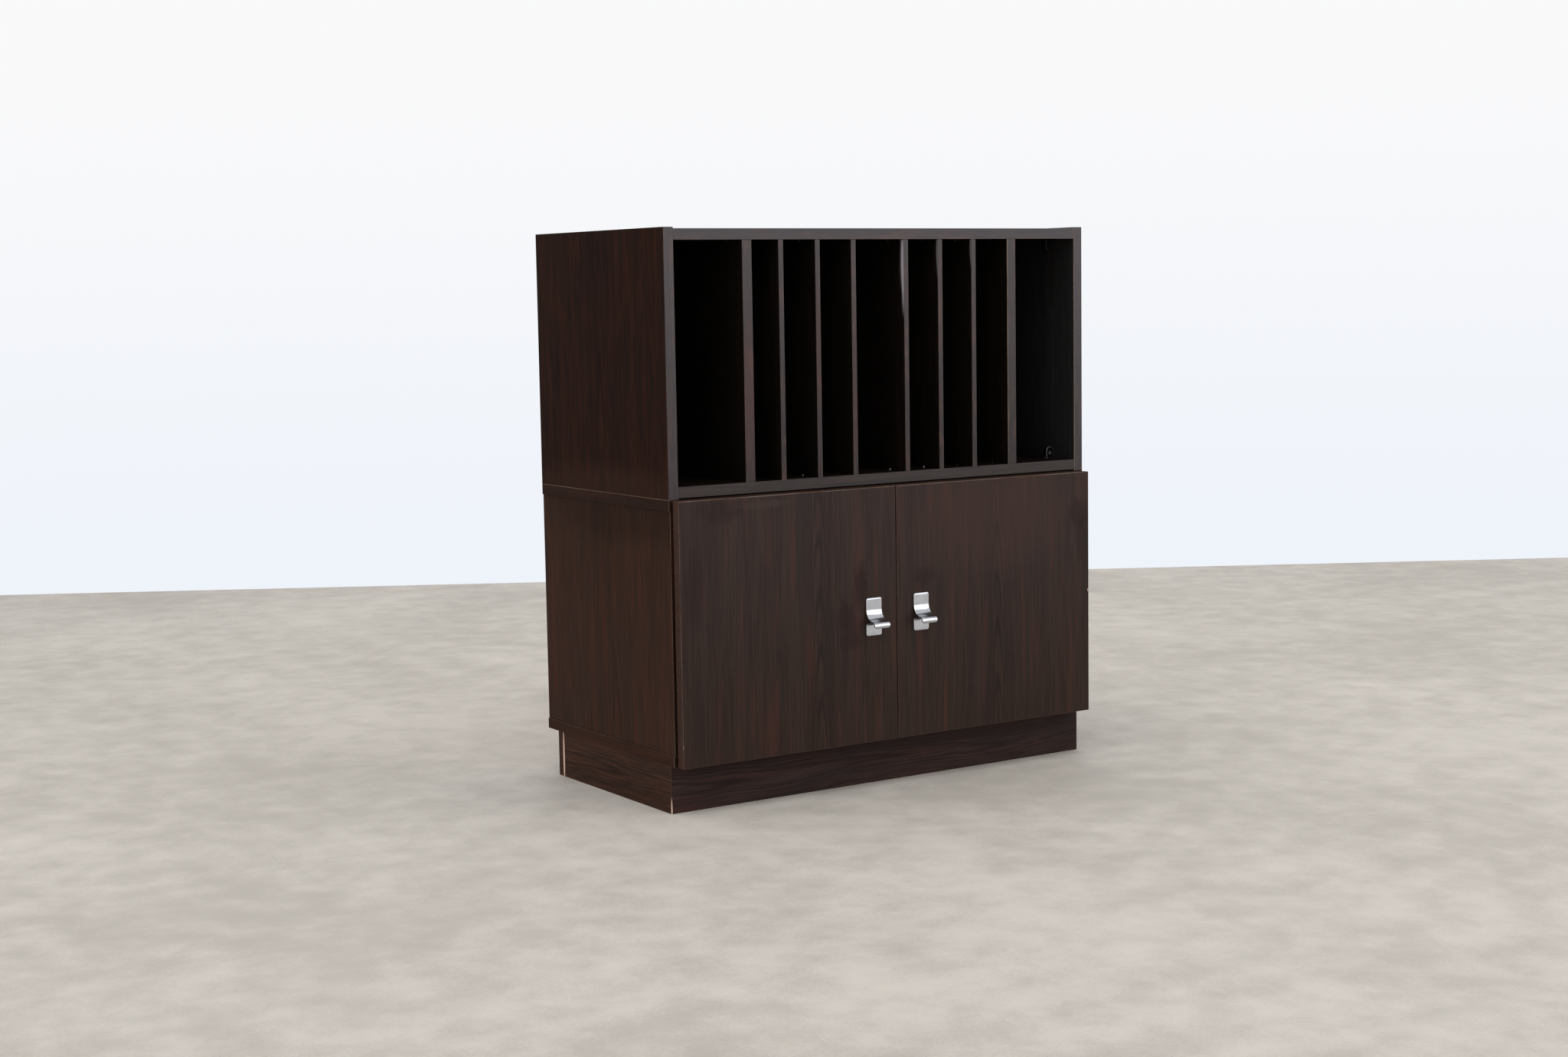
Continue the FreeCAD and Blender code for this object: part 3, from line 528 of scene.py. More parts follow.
@dataclass(frozen=True)
class Finish:
    """What every finish shares: a name, a seed and the material that its nodes make."""

    name: str
    seed: float = 0.0

    def material(self) -> bpy.types.Material:
        """The material, made the first time that it is asked for.

        Returns:
            The material.
        """
        found = bpy.data.materials.get(self.name)
        if found is None:
            found = bpy.data.materials.new(self.name)
            found.use_nodes = True
            found.node_tree.nodes.clear()
            wiring = Wiring(found.node_tree)
            place = wiring.add("ShaderNodeTexCoord").outputs["Object"]
            shader = wiring.add("ShaderNodeBsdfPrincipled", self.surface(wiring, place))
            wiring.add("ShaderNodeOutputMaterial", {"Surface": shader.outputs[0]})
        return found

    def rim(self, wiring: Wiring) -> Socket:
        """How worn a rim is, from the piece's own attribute."""
        return wiring.add("ShaderNodeAttribute", attribute_name="rim").outputs["Fac"]

    def at(self, place: Socket) -> dict[str, Any]:
        """Place and seed, which every effect takes."""
        return {"Vector": place, "Seed": self.seed}

    def worn(self, wiring: Wiring, place: Socket) -> Socket:
        """Uneven mask of the marked rims: rub wear, and on some rims a painted highlight."""
        return EdgeWear().place(wiring, {**self.at(place), "Rim": self.rim(wiring)})[0]

    def surface(self, wiring: Wiring, place: Socket) -> dict[str, Any]:
        """Adds the finish's nodes.

        Args:
            wiring: The material's tree.
            place: Object coordinates.

        Returns:
            What goes into each input of the shader.
        """
        raise NotImplementedError


@dataclass(frozen=True)
class Spot:
    """One mark on a finish: where it lies, how far it reaches, its colour and its strength."""

    middle: Point
    reach: Point
    colour: Colour
    strength: float = 1.0
    ragged: float = 0.8


@dataclass(frozen=True)
class Laminate(Finish):
    """Satin woodgrain laminate, with rims that can be rubbed through to the board.

    Attributes:
        run: Way of the grain.
        tones: Dark, plain and light tone of the streaks.
        red: Hue of the warm streaks.
        grey: Hue of the cool streaks.
        line: Colour of growth lines and pores.
        raw: Colour of a rubbed rim.
        middle: Where the growth figure is centred.
        spread: Half width of the figure.
        rise: Distance from one growth line to the next.
        wave: How far the grain wanders sideways.
        broken: How many times shorter than usual the streaks are.
        figure: Strength of the growth lines.
        gloss: Roughness of the clean surface.
        sheen: Specular level.
        dust: Share of dust on faces that look up.
        bleach: Height where the painted light starts, height where it is full, and its share.
        spots: Marks on the surface.
    """

    run: GrainRun = GrainRun.UPRIGHT
    tones: Tones = ((36, 28, 26), (46, 34, 30), (55, 40, 34))
    red: Colour = (62, 34, 30)
    grey: Colour = (43, 40, 37)
    line: Colour = (28, 22, 21)
    raw: Colour = (150, 128, 110)
    middle: Point = (0.0, 0.0, 0.0)
    spread: float = 0.016
    rise: float = 0.11
    wave: float = 0.02
    broken: float = 1.0
    figure: float = 0.35
    gloss: float = 0.42
    sheen: float = 0.1
    dust: float = 0.0
    bleach: Point = (0.0, 1.0, 0.0)
    spots: tuple[Spot, ...] = ()

    def surface(self, wiring: Wiring, place: Socket) -> dict[str, Any]:
        """Grain, marks and worn rims.

        Args:
            wiring: The material's tree.
            place: Object coordinates.

        Returns:
            What goes into each input of the shader.
        """
        turned = wiring.add("ShaderNodeMapping", {"Vector": place, "Location": self.middle,
                                                  "Rotation": self.run.value}, vector_type="TEXTURE")
        tone, warm, cool, line, pore = WoodGrain().place(wiring, {
            **self.at(turned.outputs[0]), "Spread": self.spread, "Rise": self.rise, "Wave": self.wave,
            "Broken": self.broken})
        smear, dust = Smears().place(wiring, self.at(place))
        worn = self.worn(wiring, place)
        colour = wiring.ramp(tone, self.tones)
        for mask, end, share in ((warm, self.red, HUE_SHARE), (cool, self.grey, HUE_SHARE),
                                 (line, self.line, self.figure), (pore, self.line, PORE_SHARE)):
            colour = wiring.tint(colour, end, mask, share)
        # Painted light: the colour turns paler by height, where light from above or from the floor falls.
        start, full, painted_light_share = self.bleach
        if painted_light_share:
            height = wiring.span(wiring.split(place)[2], start, full, 0.0, painted_light_share)
            colour = wiring.blend(height, colour, PAINTED_LIGHT_TONE)
        colour = wiring.tint(colour, DUST, dust, self.dust)
        marks = wiring.times(smear, 0.5)
        for number, spot in enumerate(self.spots):
            mask = Patch().place(wiring, {"Vector": place, "Middle": spot.middle, "Reach": spot.reach,
                                          "Ragged": spot.ragged, "Seed": self.seed + number})[0]
            share = wiring.times(mask, spot.strength)
            colour = wiring.blend(share, colour, spot.colour)
            marks = wiring.math("ADD", marks, share, clamp=True)
        rough = wiring.total((tone, 0.06), (marks, 0.10), (worn, 0.25))
        return {"Base Color": wiring.blend(worn, colour, self.raw),
                "Roughness": wiring.math("ADD", rough, self.gloss, clamp=True),
                "Specular IOR Level": self.sheen,
                "Normal": wiring.bump(wiring.math("SUBTRACT", 1.0, pore), 0.03 * MM, 0.5)}


@dataclass(frozen=True)
class RawBoard(Finish):
    """Chipboard or hardboard left raw: pressed chips, glue specks and dust."""

    chip: float = 0.0016
    pale: Colour = (190, 158, 118)
    dark: Colour = (120, 88, 58)

    def surface(self, wiring: Wiring, place: Socket) -> dict[str, Any]:
        """Chips of mixed tone with gaps between them.

        Args:
            wiring: The material's tree.
            place: Object coordinates.

        Returns:
            What goes into each input of the shader.
        """
        chip, gap = Flakes().place(wiring, {**self.at(place), "Size": self.chip})
        cloud = wiring.noise(place, 18.0, self.seed, 3.0)
        colour = wiring.blend(wiring.total((chip, 0.6), (cloud, 0.4)), self.dark, self.pale)
        return {"Base Color": wiring.tint(colour, self.dark, gap, 0.5),
                "Roughness": wiring.span(cloud, 0.3, 0.7, 0.78, 0.92), "Specular IOR Level": 0.2,
                "Normal": wiring.bump(chip, 0.12 * MM, 0.6)}


@dataclass(frozen=True)
class SolidWood(Finish):
    """Raw beech of the blocks and dowels."""

    pale: Colour = (205, 172, 128)
    dark: Colour = (158, 118, 78)

    def surface(self, wiring: Wiring, place: Socket) -> dict[str, Any]:
        """Pale grain with short pores.

        Args:
            wiring: The material's tree.
            place: Object coordinates.

        Returns:
            What goes into each input of the shader.
        """
        grain = WoodGrain().place(wiring, {**self.at(place), "Spread": 0.006, "Rise": 0.05, "Wave": 0.004})
        tone, pore = grain["Tone"], grain["Pore"]
        colour = wiring.blend(tone, self.dark, self.pale)
        return {"Base Color": wiring.tint(colour, self.dark, pore, 0.4),
                "Roughness": wiring.span(tone, 0.0, 1.0, 0.6, 0.75),
                "Normal": wiring.bump(pore, -0.05 * MM, 0.5)}


@dataclass(frozen=True)
class Metal(Finish):
    """Drawn, plated or anodised metal with fine lines, and marked rims brightened as rub wear and painted
    highlight.
    """

    colour: Colour = (198, 200, 204)
    shade: Colour = (168, 170, 174)
    gloss: float = 0.32
    relief: float = 0.004 * MM

    def surface(self, wiring: Wiring, place: Socket) -> dict[str, Any]:
        """Lines, a slow change of sheen, and rims brightened as rub wear and painted highlight.

        Args:
            wiring: The material's tree.
            place: Object coordinates.

        Returns:
            What goes into each input of the shader.
        """
        line, cloud = Drawn().place(wiring, self.at(place))
        worn = self.worn(wiring, place)
        colour = wiring.blend(cloud, self.shade, self.colour)
        rough = wiring.total((line, 0.10), (worn, -0.10))
        # Marked rims turn bright: rub wear and painted highlight.
        return {"Base Color": wiring.blend(worn, colour, RUB_AND_HIGHLIGHT_METAL),
                "Roughness": wiring.math("ADD", rough, self.gloss, clamp=True), "Metallic": 1.0,
                "Normal": wiring.bump(line, self.relief, 0.6)}


@dataclass(frozen=True)
class Moulded(Finish):
    """Moulded plastic or pressed ferrite with a fine orange peel; rims marked in the rim mask get a pale
    painted highlight.
    """

    colour: Colour = (32, 25, 23)
    shade: Colour = (24, 19, 17)
    gloss: float = 0.38
    pale: Colour = (150, 146, 140)

    def surface(self, wiring: Wiring, place: Socket) -> dict[str, Any]:
        """A slow change of tone over a fine dimpled skin.

        Args:
            wiring: The material's tree.
            place: Object coordinates.

        Returns:
            What goes into each input of the shader.
        """
        cloud = wiring.noise(place, 60.0, self.seed, 3.0)
        peel = wiring.noise(place, 1600.0, self.seed, 1.0)
        colour = wiring.blend(wiring.span(cloud, 0.3, 0.7), self.shade, self.colour)
        # Painted highlight: marked rims blend to the pale tone.
        return {"Base Color": wiring.blend(self.rim(wiring), colour, self.pale),
                "Roughness": wiring.span(cloud, 0.3, 0.7, self.gloss, self.gloss + 0.12),
                "Specular IOR Level": 0.25, "Normal": wiring.bump(peel, 0.02 * MM, 0.5)}


# ---- Meshes ----------------------------------------------------------------------------------


def settle(piece: bpy.types.Object, nodes: Sequence[str]) -> bpy.types.Object:
    """Makes a finished piece ride with the CAD nodes that it stands for, and hides them.

    Args:
        piece: The finished piece.
        nodes: Names of the nodes, all on one body.

    Returns:
        The piece.
    """
    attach(piece, frame["nodes"][nodes[0]]["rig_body"])
    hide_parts(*nodes)
    return piece


def finished(shape: bmesh.types.BMesh, name: str, node: str,
             finishes: Sequence[Finish]) -> bpy.types.Object:
    """Turns a mesh under work into a dressed piece.

    Args:
        shape: The mesh, freed here.
        name: Name of the piece.
        node: The CAD node that it stands for.
        finishes: Its finishes, in the order of its faces' material numbers.

    Returns:
        The piece.
    """
    mesh = bpy.data.meshes.new(name)
    shape.to_mesh(mesh)
    shape.free()
    for finish in finishes:
        mesh.materials.append(finish.material())
    return settle(put(name, mesh), [node])


def dress(node: str, finish: Finish) -> bpy.types.Object:
    """Gives a CAD node that keeps its shape a finish.

    Args:
        node: The CAD node.
        finish: Its finish.

    Returns:
        The node's object.
    """
    thing = frame["nodes"][node]
    thing.data.materials.clear()
    thing.data.materials.append(finish.material())
    return thing


def merged(node: str) -> bmesh.types.BMesh:
    """A CAD node's mesh with its loose triangles joined, solid by solid, and its flat faces whole.

    Touching solids stay apart: a solid is complete when each of its edges has both its triangles.

    Args:
        node: Name of the node.

    Returns:
        The joined mesh, to be freed by the caller.
    """
    shape = bmesh.new()
    mesh = frame["nodes"][node].data
    corners: dict[Vector, bmesh.types.BMVert] = {}
    open_edges: set[frozenset[Vector]] = set()
    for polygon in mesh.polygons:
        places = [mesh.vertices[index].co.copy().freeze() for index in polygon.vertices]
        if len(set(places)) < 3:
            continue
        for place in places:
            if place not in corners:
                corners[place] = shape.verts.new(place)
        shape.faces.new([corners[place] for place in places])
        for here, after in zip(places, places[1:] + places[:1]):
            open_edges ^= {frozenset((here, after))}
        if not open_edges:
            corners = {}
    bmesh.ops.dissolve_limit(shape, angle_limit=FLAT, verts=shape.verts, edges=shape.edges)
    return shape


def islands(shape: bmesh.types.BMesh) -> list[list[bmesh.types.BMVert]]:
    """Vertices of each separate solid in a mesh.

    Args:
        shape: The merged mesh.

    Returns:
        One list of vertices for each solid.
    """
    left, found = set(shape.verts), []
    for start in shape.verts:
        if start not in left:
            continue
        left.remove(start)
        rim, solid = [start], []
        while rim:
            vertex = rim.pop()
            solid.append(vertex)
            near = {edge.other_vert(vertex) for edge in vertex.link_edges} & left
            left -= near
            rim.extend(near)
        found.append(solid)
    return found


@dataclass
class Board:
    """A board, strip or panel made from a CAD node, with its long edges eased and worn.

    Attributes:
        node: The CAD node.
        face: Finish of the board.
        sides: Finishes of the faces that look certain ways.
        ease: Radius of the eased edges.
        wear: How worn a rim is, by its middle.
        shortest: Length of the shortest edge that is eased.
        steps: Chords of an eased edge.
        sharp: Smallest turn between two faces whose edge is eased.
    """

    node: str
    face: Finish
    sides: Mapping[Way, Finish] = field(default_factory=dict)
    ease: float = 0.35 * MM
    wear: WearRule = unworn
    shortest: float = 12.0 * MM
    steps: int = 2
    sharp: float = math.radians(40)

    def make(self) -> bpy.types.Object:
        """Builds and dresses the piece.

        Returns:
            The piece, riding on its body in place of the CAD node.
        """
        shape = merged(self.node)
        self.round_over(shape)
        for polygon in shape.faces:
            for number, way in enumerate(self.sides, 1):
                if way.meets(polygon.normal):
                    polygon.material_index = number
        return finished(shape, self.node + "_eased", self.node, [self.face, *self.sides.values()])

    def round_over(self, shape: bmesh.types.BMesh) -> None:
        """Eases the long sharp edges and writes how worn each rim is.

        Args:
            shape: The merged mesh, changed in place.
        """
        rim = shape.faces.layers.float.new("rim")
        edges = [edge for edge in shape.edges
                 if len(edge.link_faces) == 2 and edge.calc_face_angle() > self.sharp
                 and edge.is_convex and edge.calc_length() > self.shortest]
        made = bmesh.ops.bevel(shape, geom=edges, offset=self.ease, segments=self.steps, profile=0.5,
                               affect="EDGES", clamp_overlap=False)
        for polygon in made["faces"]:
            polygon[rim] = self.wear(polygon.calc_center_median())


@dataclass
class FittingBlocks(Board):
    """Corner fittings, whose rounded arches get a painted highlight."""

    glint: float = 0.35
    arch: tuple[float, float] = (0.3, 0.95)

    def round_over(self, shape: bmesh.types.BMesh) -> None:
        """Eases the rims as on any board, and marks the rounded arches for the painted highlight too.

        Args:
            shape: The merged mesh, changed in place.
        """
        super().round_over(shape)
        rim = shape.faces.layers.float["rim"]
        for polygon in shape.faces:
            if self.arch[0] < -polygon.normal.y < self.arch[1]:
                polygon[rim] = self.glint * self.wear(polygon.calc_center_median())


@dataclass
class Boardwork:
    """A sub-assembly that is made of boards alone: how far boards, bands and back panels are eased."""

    ease: float = 0.4 * MM
    band_ease: float = 0.3 * MM
    panel_ease: float = 0.2 * MM

    def boards(self) -> list[Board]:
        """Every board, band, panel and block, not yet made."""
        raise NotImplementedError

    def build(self) -> list[bpy.types.Object]:
        """Makes every board, band, panel and block."""
        return [board.make() for board in self.boards()]


@dataclass
class Strap:
    """Sheet metal strip bent in the YZ plane, with round corners and eased rims.

    Attributes:
        bends: Places along the middle of the sheet, each with its face's normal, as (y, z, y, z).
        left: Where the strip starts along X.
        right: Where it ends.
        sheet: Its thickness.
        corner: Radius of its corners.
        ease: Radius of its rims.
        rim_steps: Chords of a rim.
        corner_steps: Cuts along a corner.
    """

    bends: Sequence[Bend]
    left: float
    right: float
    sheet: float
    corner: float
    ease: float
    rim_steps: int = 3
    corner_steps: int = 9

    def bend_at(self, distance: float) -> Bend:
        """Place and normal some way along the strip.

        Args:
            distance: Metres from its first end.

        Returns:
            The place and the normal.
        """
        left = distance
        for here, after in zip(self.bends, self.bends[1:]):
            step = math.dist(here[:2], after[:2])
            if left <= step:
                share = left / step
                return tuple(a + (b - a) * share for a, b in zip(here, after))
            left -= step
        return self.bends[-1]

    def section(self, distance: float, length: float) -> list[Point]:
        """Outline of the strip where it is cut across, narrower near its ends.

        Args:
            distance: Metres from its first end.
            length: Length of the strip.

        Returns:
            Points round the cut.
        """
        near = min(distance, length - distance)
        turn = max(self.corner - near, 0.0)
        half = (self.right - self.left) / 2 - self.corner + math.sqrt(self.corner ** 2 - turn ** 2)
        thin = max(self.ease - near, 0.0)
        inset = self.ease - math.sqrt(self.ease ** 2 - thin ** 2)
        y, z, out_y, out_z = self.bend_at(distance)
        middle = (self.left + self.right) / 2
        points = []
        for quarter, (side, face) in enumerate(((1, 1), (-1, 1), (-1, -1), (1, -1))):
            for step in range(self.rim_steps + 1):
                angle = (quarter + step / self.rim_steps) * math.pi / 2
                across = side * (half - self.ease) + self.ease * math.cos(angle)
                out = face * (self.sheet / 2 - self.ease) + (self.ease - inset) * math.sin(angle)
                points.append((middle + across, y + out_y * out, z + out_z * out))
        return points

    def add_to(self, shape: bmesh.types.BMesh) -> None:
        """Adds the strip to a mesh, with its rims marked for rub wear and a painted highlight.

        Args:
            shape: The mesh.
        """
        length = sum(math.dist(here[:2], after[:2]) for here, after in zip(self.bends, self.bends[1:]))
        ends = {reach * (1 - math.cos(step / self.corner_steps * math.pi / 2))
                for reach in (self.ease, self.corner) for step in range(self.corner_steps + 1)}
        count = len(self.bends) * 2
        between = {self.corner + (length - 2 * self.corner) * step / count for step in range(count)}
        places = sorted(ends | between | {length - place for place in ends})
        rim = shape.faces.layers.float.get("rim") or shape.faces.layers.float.new("rim")
        rings = [[shape.verts.new(point) for point in self.section(place, length)] for place in places]
        faces = [shape.faces.new(rings[0]), shape.faces.new(rings[-1])]
        flat = set(range(self.rim_steps, len(rings[0]), self.rim_steps + 1))
        for here, after in zip(rings, rings[1:]):
            for corner in range(len(here)):
                follow = (corner + 1) % len(here)
                face = shape.faces.new((here[corner], here[follow], after[follow], after[corner]))
                face.smooth = True
                face[rim] = 0.0 if corner in flat else 1.0
                faces.append(face)
        bmesh.ops.recalc_face_normals(shape, faces=faces)


# ---- Fasteners -------------------------------------------------------------------------------


@dataclass(frozen=True)
class Fastener:
    """One kind of fastener: its sizes, and the Geometry Nodes that put one on every point."""

    title: ClassVar[str]

    def inputs(self) -> dict[str, float]:
        """Sizes by the names of the tree's inputs."""
        return {name.replace("_", " ").title(): size for name, size in vars(self).items()}

    def stand(self) -> float:
        """How far the head or tip stands from the seat."""
        raise NotImplementedError

    def one(self, wiring: Wiring, given: Mapping[str, Socket]) -> Socket:
        """Adds the nodes of one fastener, with its seat at Z = 0 and its head up.

        Args:
            wiring: The tree.
            given: Sizes by name.

        Returns:
            The fastener's geometry.
        """
        raise NotImplementedError

    def tree(self) -> bpy.types.NodeTree:
        """The whole tree, built the first time that it is asked for.

        Returns:
            The tree, which ends in real geometry with its material set.
        """
        tree = bpy.data.node_groups.get(self.title)
        if tree is not None:
            return tree
        tree = bpy.data.node_groups.new(self.title, "GeometryNodeTree")
        sockets = [("Geometry", "Geometry"), *((size, "Float") for size in self.inputs()),
                   ("Material", "Material")]
        for title, kind in sockets:
            tree.interface.new_socket(title, in_out="INPUT", socket_type="NodeSocket" + kind)
        tree.interface.new_socket("Geometry", in_out="OUTPUT", socket_type="NodeSocketGeometry")
        wiring = Wiring(tree)
        given = wiring.add("NodeGroupInput").outputs
        way = wiring.add("GeometryNodeInputNamedAttribute", {"Name": "way"}, data_type="FLOAT_VECTOR")
        turn = wiring.add("GeometryNodeInputNamedAttribute", {"Name": "turn"}, data_type="FLOAT")
        aim = wiring.add("FunctionNodeAlignRotationToVector", {"Vector": way.outputs[0]}, axis="Z")
        about_head = {"Axis": Way.UP.value, "Angle": turn.outputs[0]}
        spin = wiring.add("FunctionNodeAxisAngleToRotation", about_head)
        both = wiring.add("FunctionNodeRotateRotation", {0: aim.outputs[0], 1: spin.outputs[0]},
                          rotation_space="LOCAL")
        points = wiring.add("GeometryNodeMeshToPoints", {"Mesh": given["Geometry"]})
        copies = wiring.add("GeometryNodeInstanceOnPoints", {"Points": points.outputs[0],
                                                             "Instance": self.one(wiring, given),
                                                             "Rotation": both.outputs[0]})
        real = wiring.add("GeometryNodeRealizeInstances", {0: copies.outputs[0]})
        dressed = wiring.add("GeometryNodeSetMaterial", {0: real.outputs[0],
                                                         "Material": given["Material"]})
        wiring.add("NodeGroupOutput", {0: dressed.outputs[0]})
        return tree

    def shifted(self, wiring: Wiring, shape: Socket, rise: Any) -> Socket:
        """Geometry moved along Z."""
        return wiring.add("GeometryNodeTransform", {"Geometry": shape,
                                                    "Translation": wiring.joined(z=rise)}).outputs[0]


@dataclass(frozen=True)
class PanScrew(Fastener):
    """Pan-head screw with a cross recess."""

    title = "pan_screws"
    head_radius: float = 3.4 * MM
    head_height: float = 1.6 * MM
    shank_radius: float = 1.8 * MM
    shank_length: float = 11.0 * MM
    recess_width: float = 0.7 * MM
    recess_length: float = 3.4 * MM

    def stand(self) -> float:
        """How far the head stands from the seat."""
        return self.head_height

    def one(self, wiring: Wiring, given: Mapping[str, Socket]) -> Socket:
        """A domed head with a cross cut into it, and a plain shank.

        Args:
            wiring: The tree.
            given: Sizes by name.

        Returns:
            The screw's geometry.
        """
        radius, height = given["Head Radius"], given["Head Height"]
        disc = wiring.add("GeometryNodeMeshCylinder", {"Vertices": 24, "Side Segments": 2,
                                                       "Fill Segments": 4, "Radius": radius,
                                                       "Depth": height}, fill_type="TRIANGLE_FAN")
        x, y, z = wiring.split(wiring.add("GeometryNodeInputPosition").outputs[0])
        out = wiring.math("SQRT", wiring.math("ADD", wiring.times(x, x), wiring.times(y, y)))
        share = wiring.math("POWER", wiring.math("DIVIDE", out, radius), 2.6)
        drop = wiring.math("SUBTRACT", 1.0, wiring.times(share, 0.5))
        rise = wiring.math("ADD", z, wiring.times(height, 0.5))
        head = wiring.add("GeometryNodeSetPosition", {
            "Geometry": disc.outputs["Mesh"], "Position": wiring.joined(x, y, wiring.times(rise, drop))})
        bars = []
        for across, along in (("Recess Length", "Recess Width"), ("Recess Width", "Recess Length")):
            size = wiring.joined(given[across], given[along], height)
            bar = wiring.add("GeometryNodeMeshCube", {"Size": size}).outputs["Mesh"]
            bars.append(self.shifted(wiring, bar, wiring.times(height, 0.95)))
        cross = wiring.add("GeometryNodeMeshBoolean", {"Mesh 1": head.outputs[0], "Mesh 2": bars},
                           operation="DIFFERENCE", solver="EXACT")
        shank = wiring.add("GeometryNodeMeshCylinder", {"Vertices": 16, "Radius": given["Shank Radius"],
                                                        "Depth": given["Shank Length"]}).outputs["Mesh"]
        stem = self.shifted(wiring, shank, wiring.times(given["Shank Length"], -0.5))
        return wiring.add("GeometryNodeJoinGeometry", {0: [cross.outputs["Mesh"], stem]}).outputs[0]


@dataclass(frozen=True)
class Pin(Fastener):
    """Round steel pin with a chamfered end."""

    title = "divider_pins_tree"
    radius: float = 2.5 * MM
    sunk: float = 8.0 * MM
    above: float = 3.0 * MM
    chamfer: float = 0.8 * MM

    def stand(self) -> float:
        """How far the tip stands from the seat."""
        return self.above

    def one(self, wiring: Wiring, given: Mapping[str, Socket]) -> Socket:
        """A stem from below the seat up to a chamfer.

        Args:
            wiring: The tree.
            given: Sizes by name.

        Returns:
            The pin's geometry.
        """
        radius, chamfer = given["Radius"], given["Chamfer"]
        bare = wiring.math("SUBTRACT", given["Above"], chamfer)
        stem = wiring.add("GeometryNodeMeshCylinder", {"Vertices": 24, "Radius": radius,
                                                       "Depth": wiring.math("ADD", given["Sunk"], bare)})
        middle = wiring.times(wiring.math("SUBTRACT", bare, given["Sunk"]), 0.5)
        tip = wiring.add("GeometryNodeMeshCone", {
            "Vertices": 24, "Radius Top": wiring.math("SUBTRACT", radius, chamfer),
            "Radius Bottom": radius, "Depth": chamfer})
        both = [self.shifted(wiring, stem.outputs["Mesh"], middle),
                self.shifted(wiring, tip.outputs["Mesh"], bare)]
        return wiring.add("GeometryNodeJoinGeometry", {0: both}).outputs[0]


def inwards(middle: Vector) -> Vector:
    """Way of a head on a side panel: into the case."""
    return Vector((-math.copysign(1.0, middle.x), 0.0, 0.0))


def down(middle: Vector) -> Vector:
    """Way of a head that looks down."""
    return Vector(Way.DOWN.value)


def forward(middle: Vector) -> Vector:
    """Way of a head that looks out of the front."""
    return Vector(Way.FRONT.value)


def backward(middle: Vector) -> Vector:
    """Way of a head on the back of a door."""
    return Vector(Way.BACK.value)


@dataclass
class FastenerSet:
    """All fasteners of one CAD node that are alike.

    Attributes:
        node: The CAD node.
        kind: The fastener and its sizes.
        heads: Way that a fastener's head looks, from its middle.
        finish: Metal that they are made of.
        keep: Which of the node's solids these are, by length along the head's way and by middle.
        title: Last word of the piece's name.
        turn: Angle from one fastener to the next about its own axis.
    """

    node: str
    kind: Fastener
    heads: HeadRule
    finish: Finish
    keep: Callable[[float, Vector], bool] = lambda length, middle: True
    title: str = "made"
    turn: float = math.radians(37)

    def seats(self) -> list[tuple[Vector, Vector]]:
        """Seat and head's way of each fastener, read from the CAD node.

        Returns:
            Pairs of a point and a unit vector.
        """
        shape = merged(self.node)
        found = []
        for solid in islands(shape):
            corners = [Vector(pick(vertex.co[axis] for vertex in solid) for axis in range(3))
                       for pick in (min, max)]
            middle = (corners[0] + corners[1]) / 2
            way = self.heads(middle)
            reach = abs((corners[1] - corners[0]).dot(way)) / 2
            if self.keep(reach * 2, middle):
                found.append((middle + way * (reach - self.kind.stand()), way))
        shape.free()
        return found

    def make(self) -> bpy.types.Object:
        """Builds the fasteners as one plain mesh.

        Returns:
            The piece, riding on its body in place of the CAD node.
        """
        seats = self.seats()
        base = bpy.data.meshes.new(self.node + "_seats")
        base.from_pydata([tuple(place) for place, way in seats], [], [])
        ways = base.attributes.new("way", "FLOAT_VECTOR", "POINT")
        ways.data.foreach_set("vector", [part for place, way in seats for part in way])
        turns = base.attributes.new("turn", "FLOAT", "POINT")
        turns.data.foreach_set("value", [self.turn * number for number in range(len(seats))])
        maker = put(self.node + "_maker", base)
        modifier = maker.modifiers.new("fasteners", "NODES")
        modifier.node_group = self.kind.tree()
        values = {**self.kind.inputs(), "Material": self.finish.material()}
        for item in modifier.node_group.interface.items_tree:
            if item.in_out == "INPUT" and item.name in values:
                modifier[item.identifier] = values[item.name]
        graph = bpy.context.evaluated_depsgraph_get()
        mesh = bpy.data.meshes.new_from_object(maker.evaluated_get(graph))
        bpy.data.objects.remove(maker)
        return settle(put(f"{self.node}_{self.title}", mesh), [self.node])


# ---- The cabinet's finishes ------------------------------------------------------------------


GREASE = (42, 30, 28)
DARK_SCUFF = (36, 29, 27)
# Pale scuff tone that also stands for a painted grazing highlight on the dividers.
SCUFF_HIGHLIGHT = (200, 192, 200)
RAW_LINE = (228, 196, 178)
DARK_TONES = ((29, 17, 12), (41, 23, 16), (52, 29, 20))
# Dark inside laminate, taken nearly black as painted shade inside the cases.
INSIDE_TONES = ((15, 12, 10), (21, 17, 14), (28, 22, 18))
# Painted light from above: the edge bands turn paler towards the top.
PAINTED_TOP_LIGHT = (0.45, 0.85, 0.10)
BAND_FACE = -0.1715
DOOR_FACE = -0.191
THROUGH = 0.05

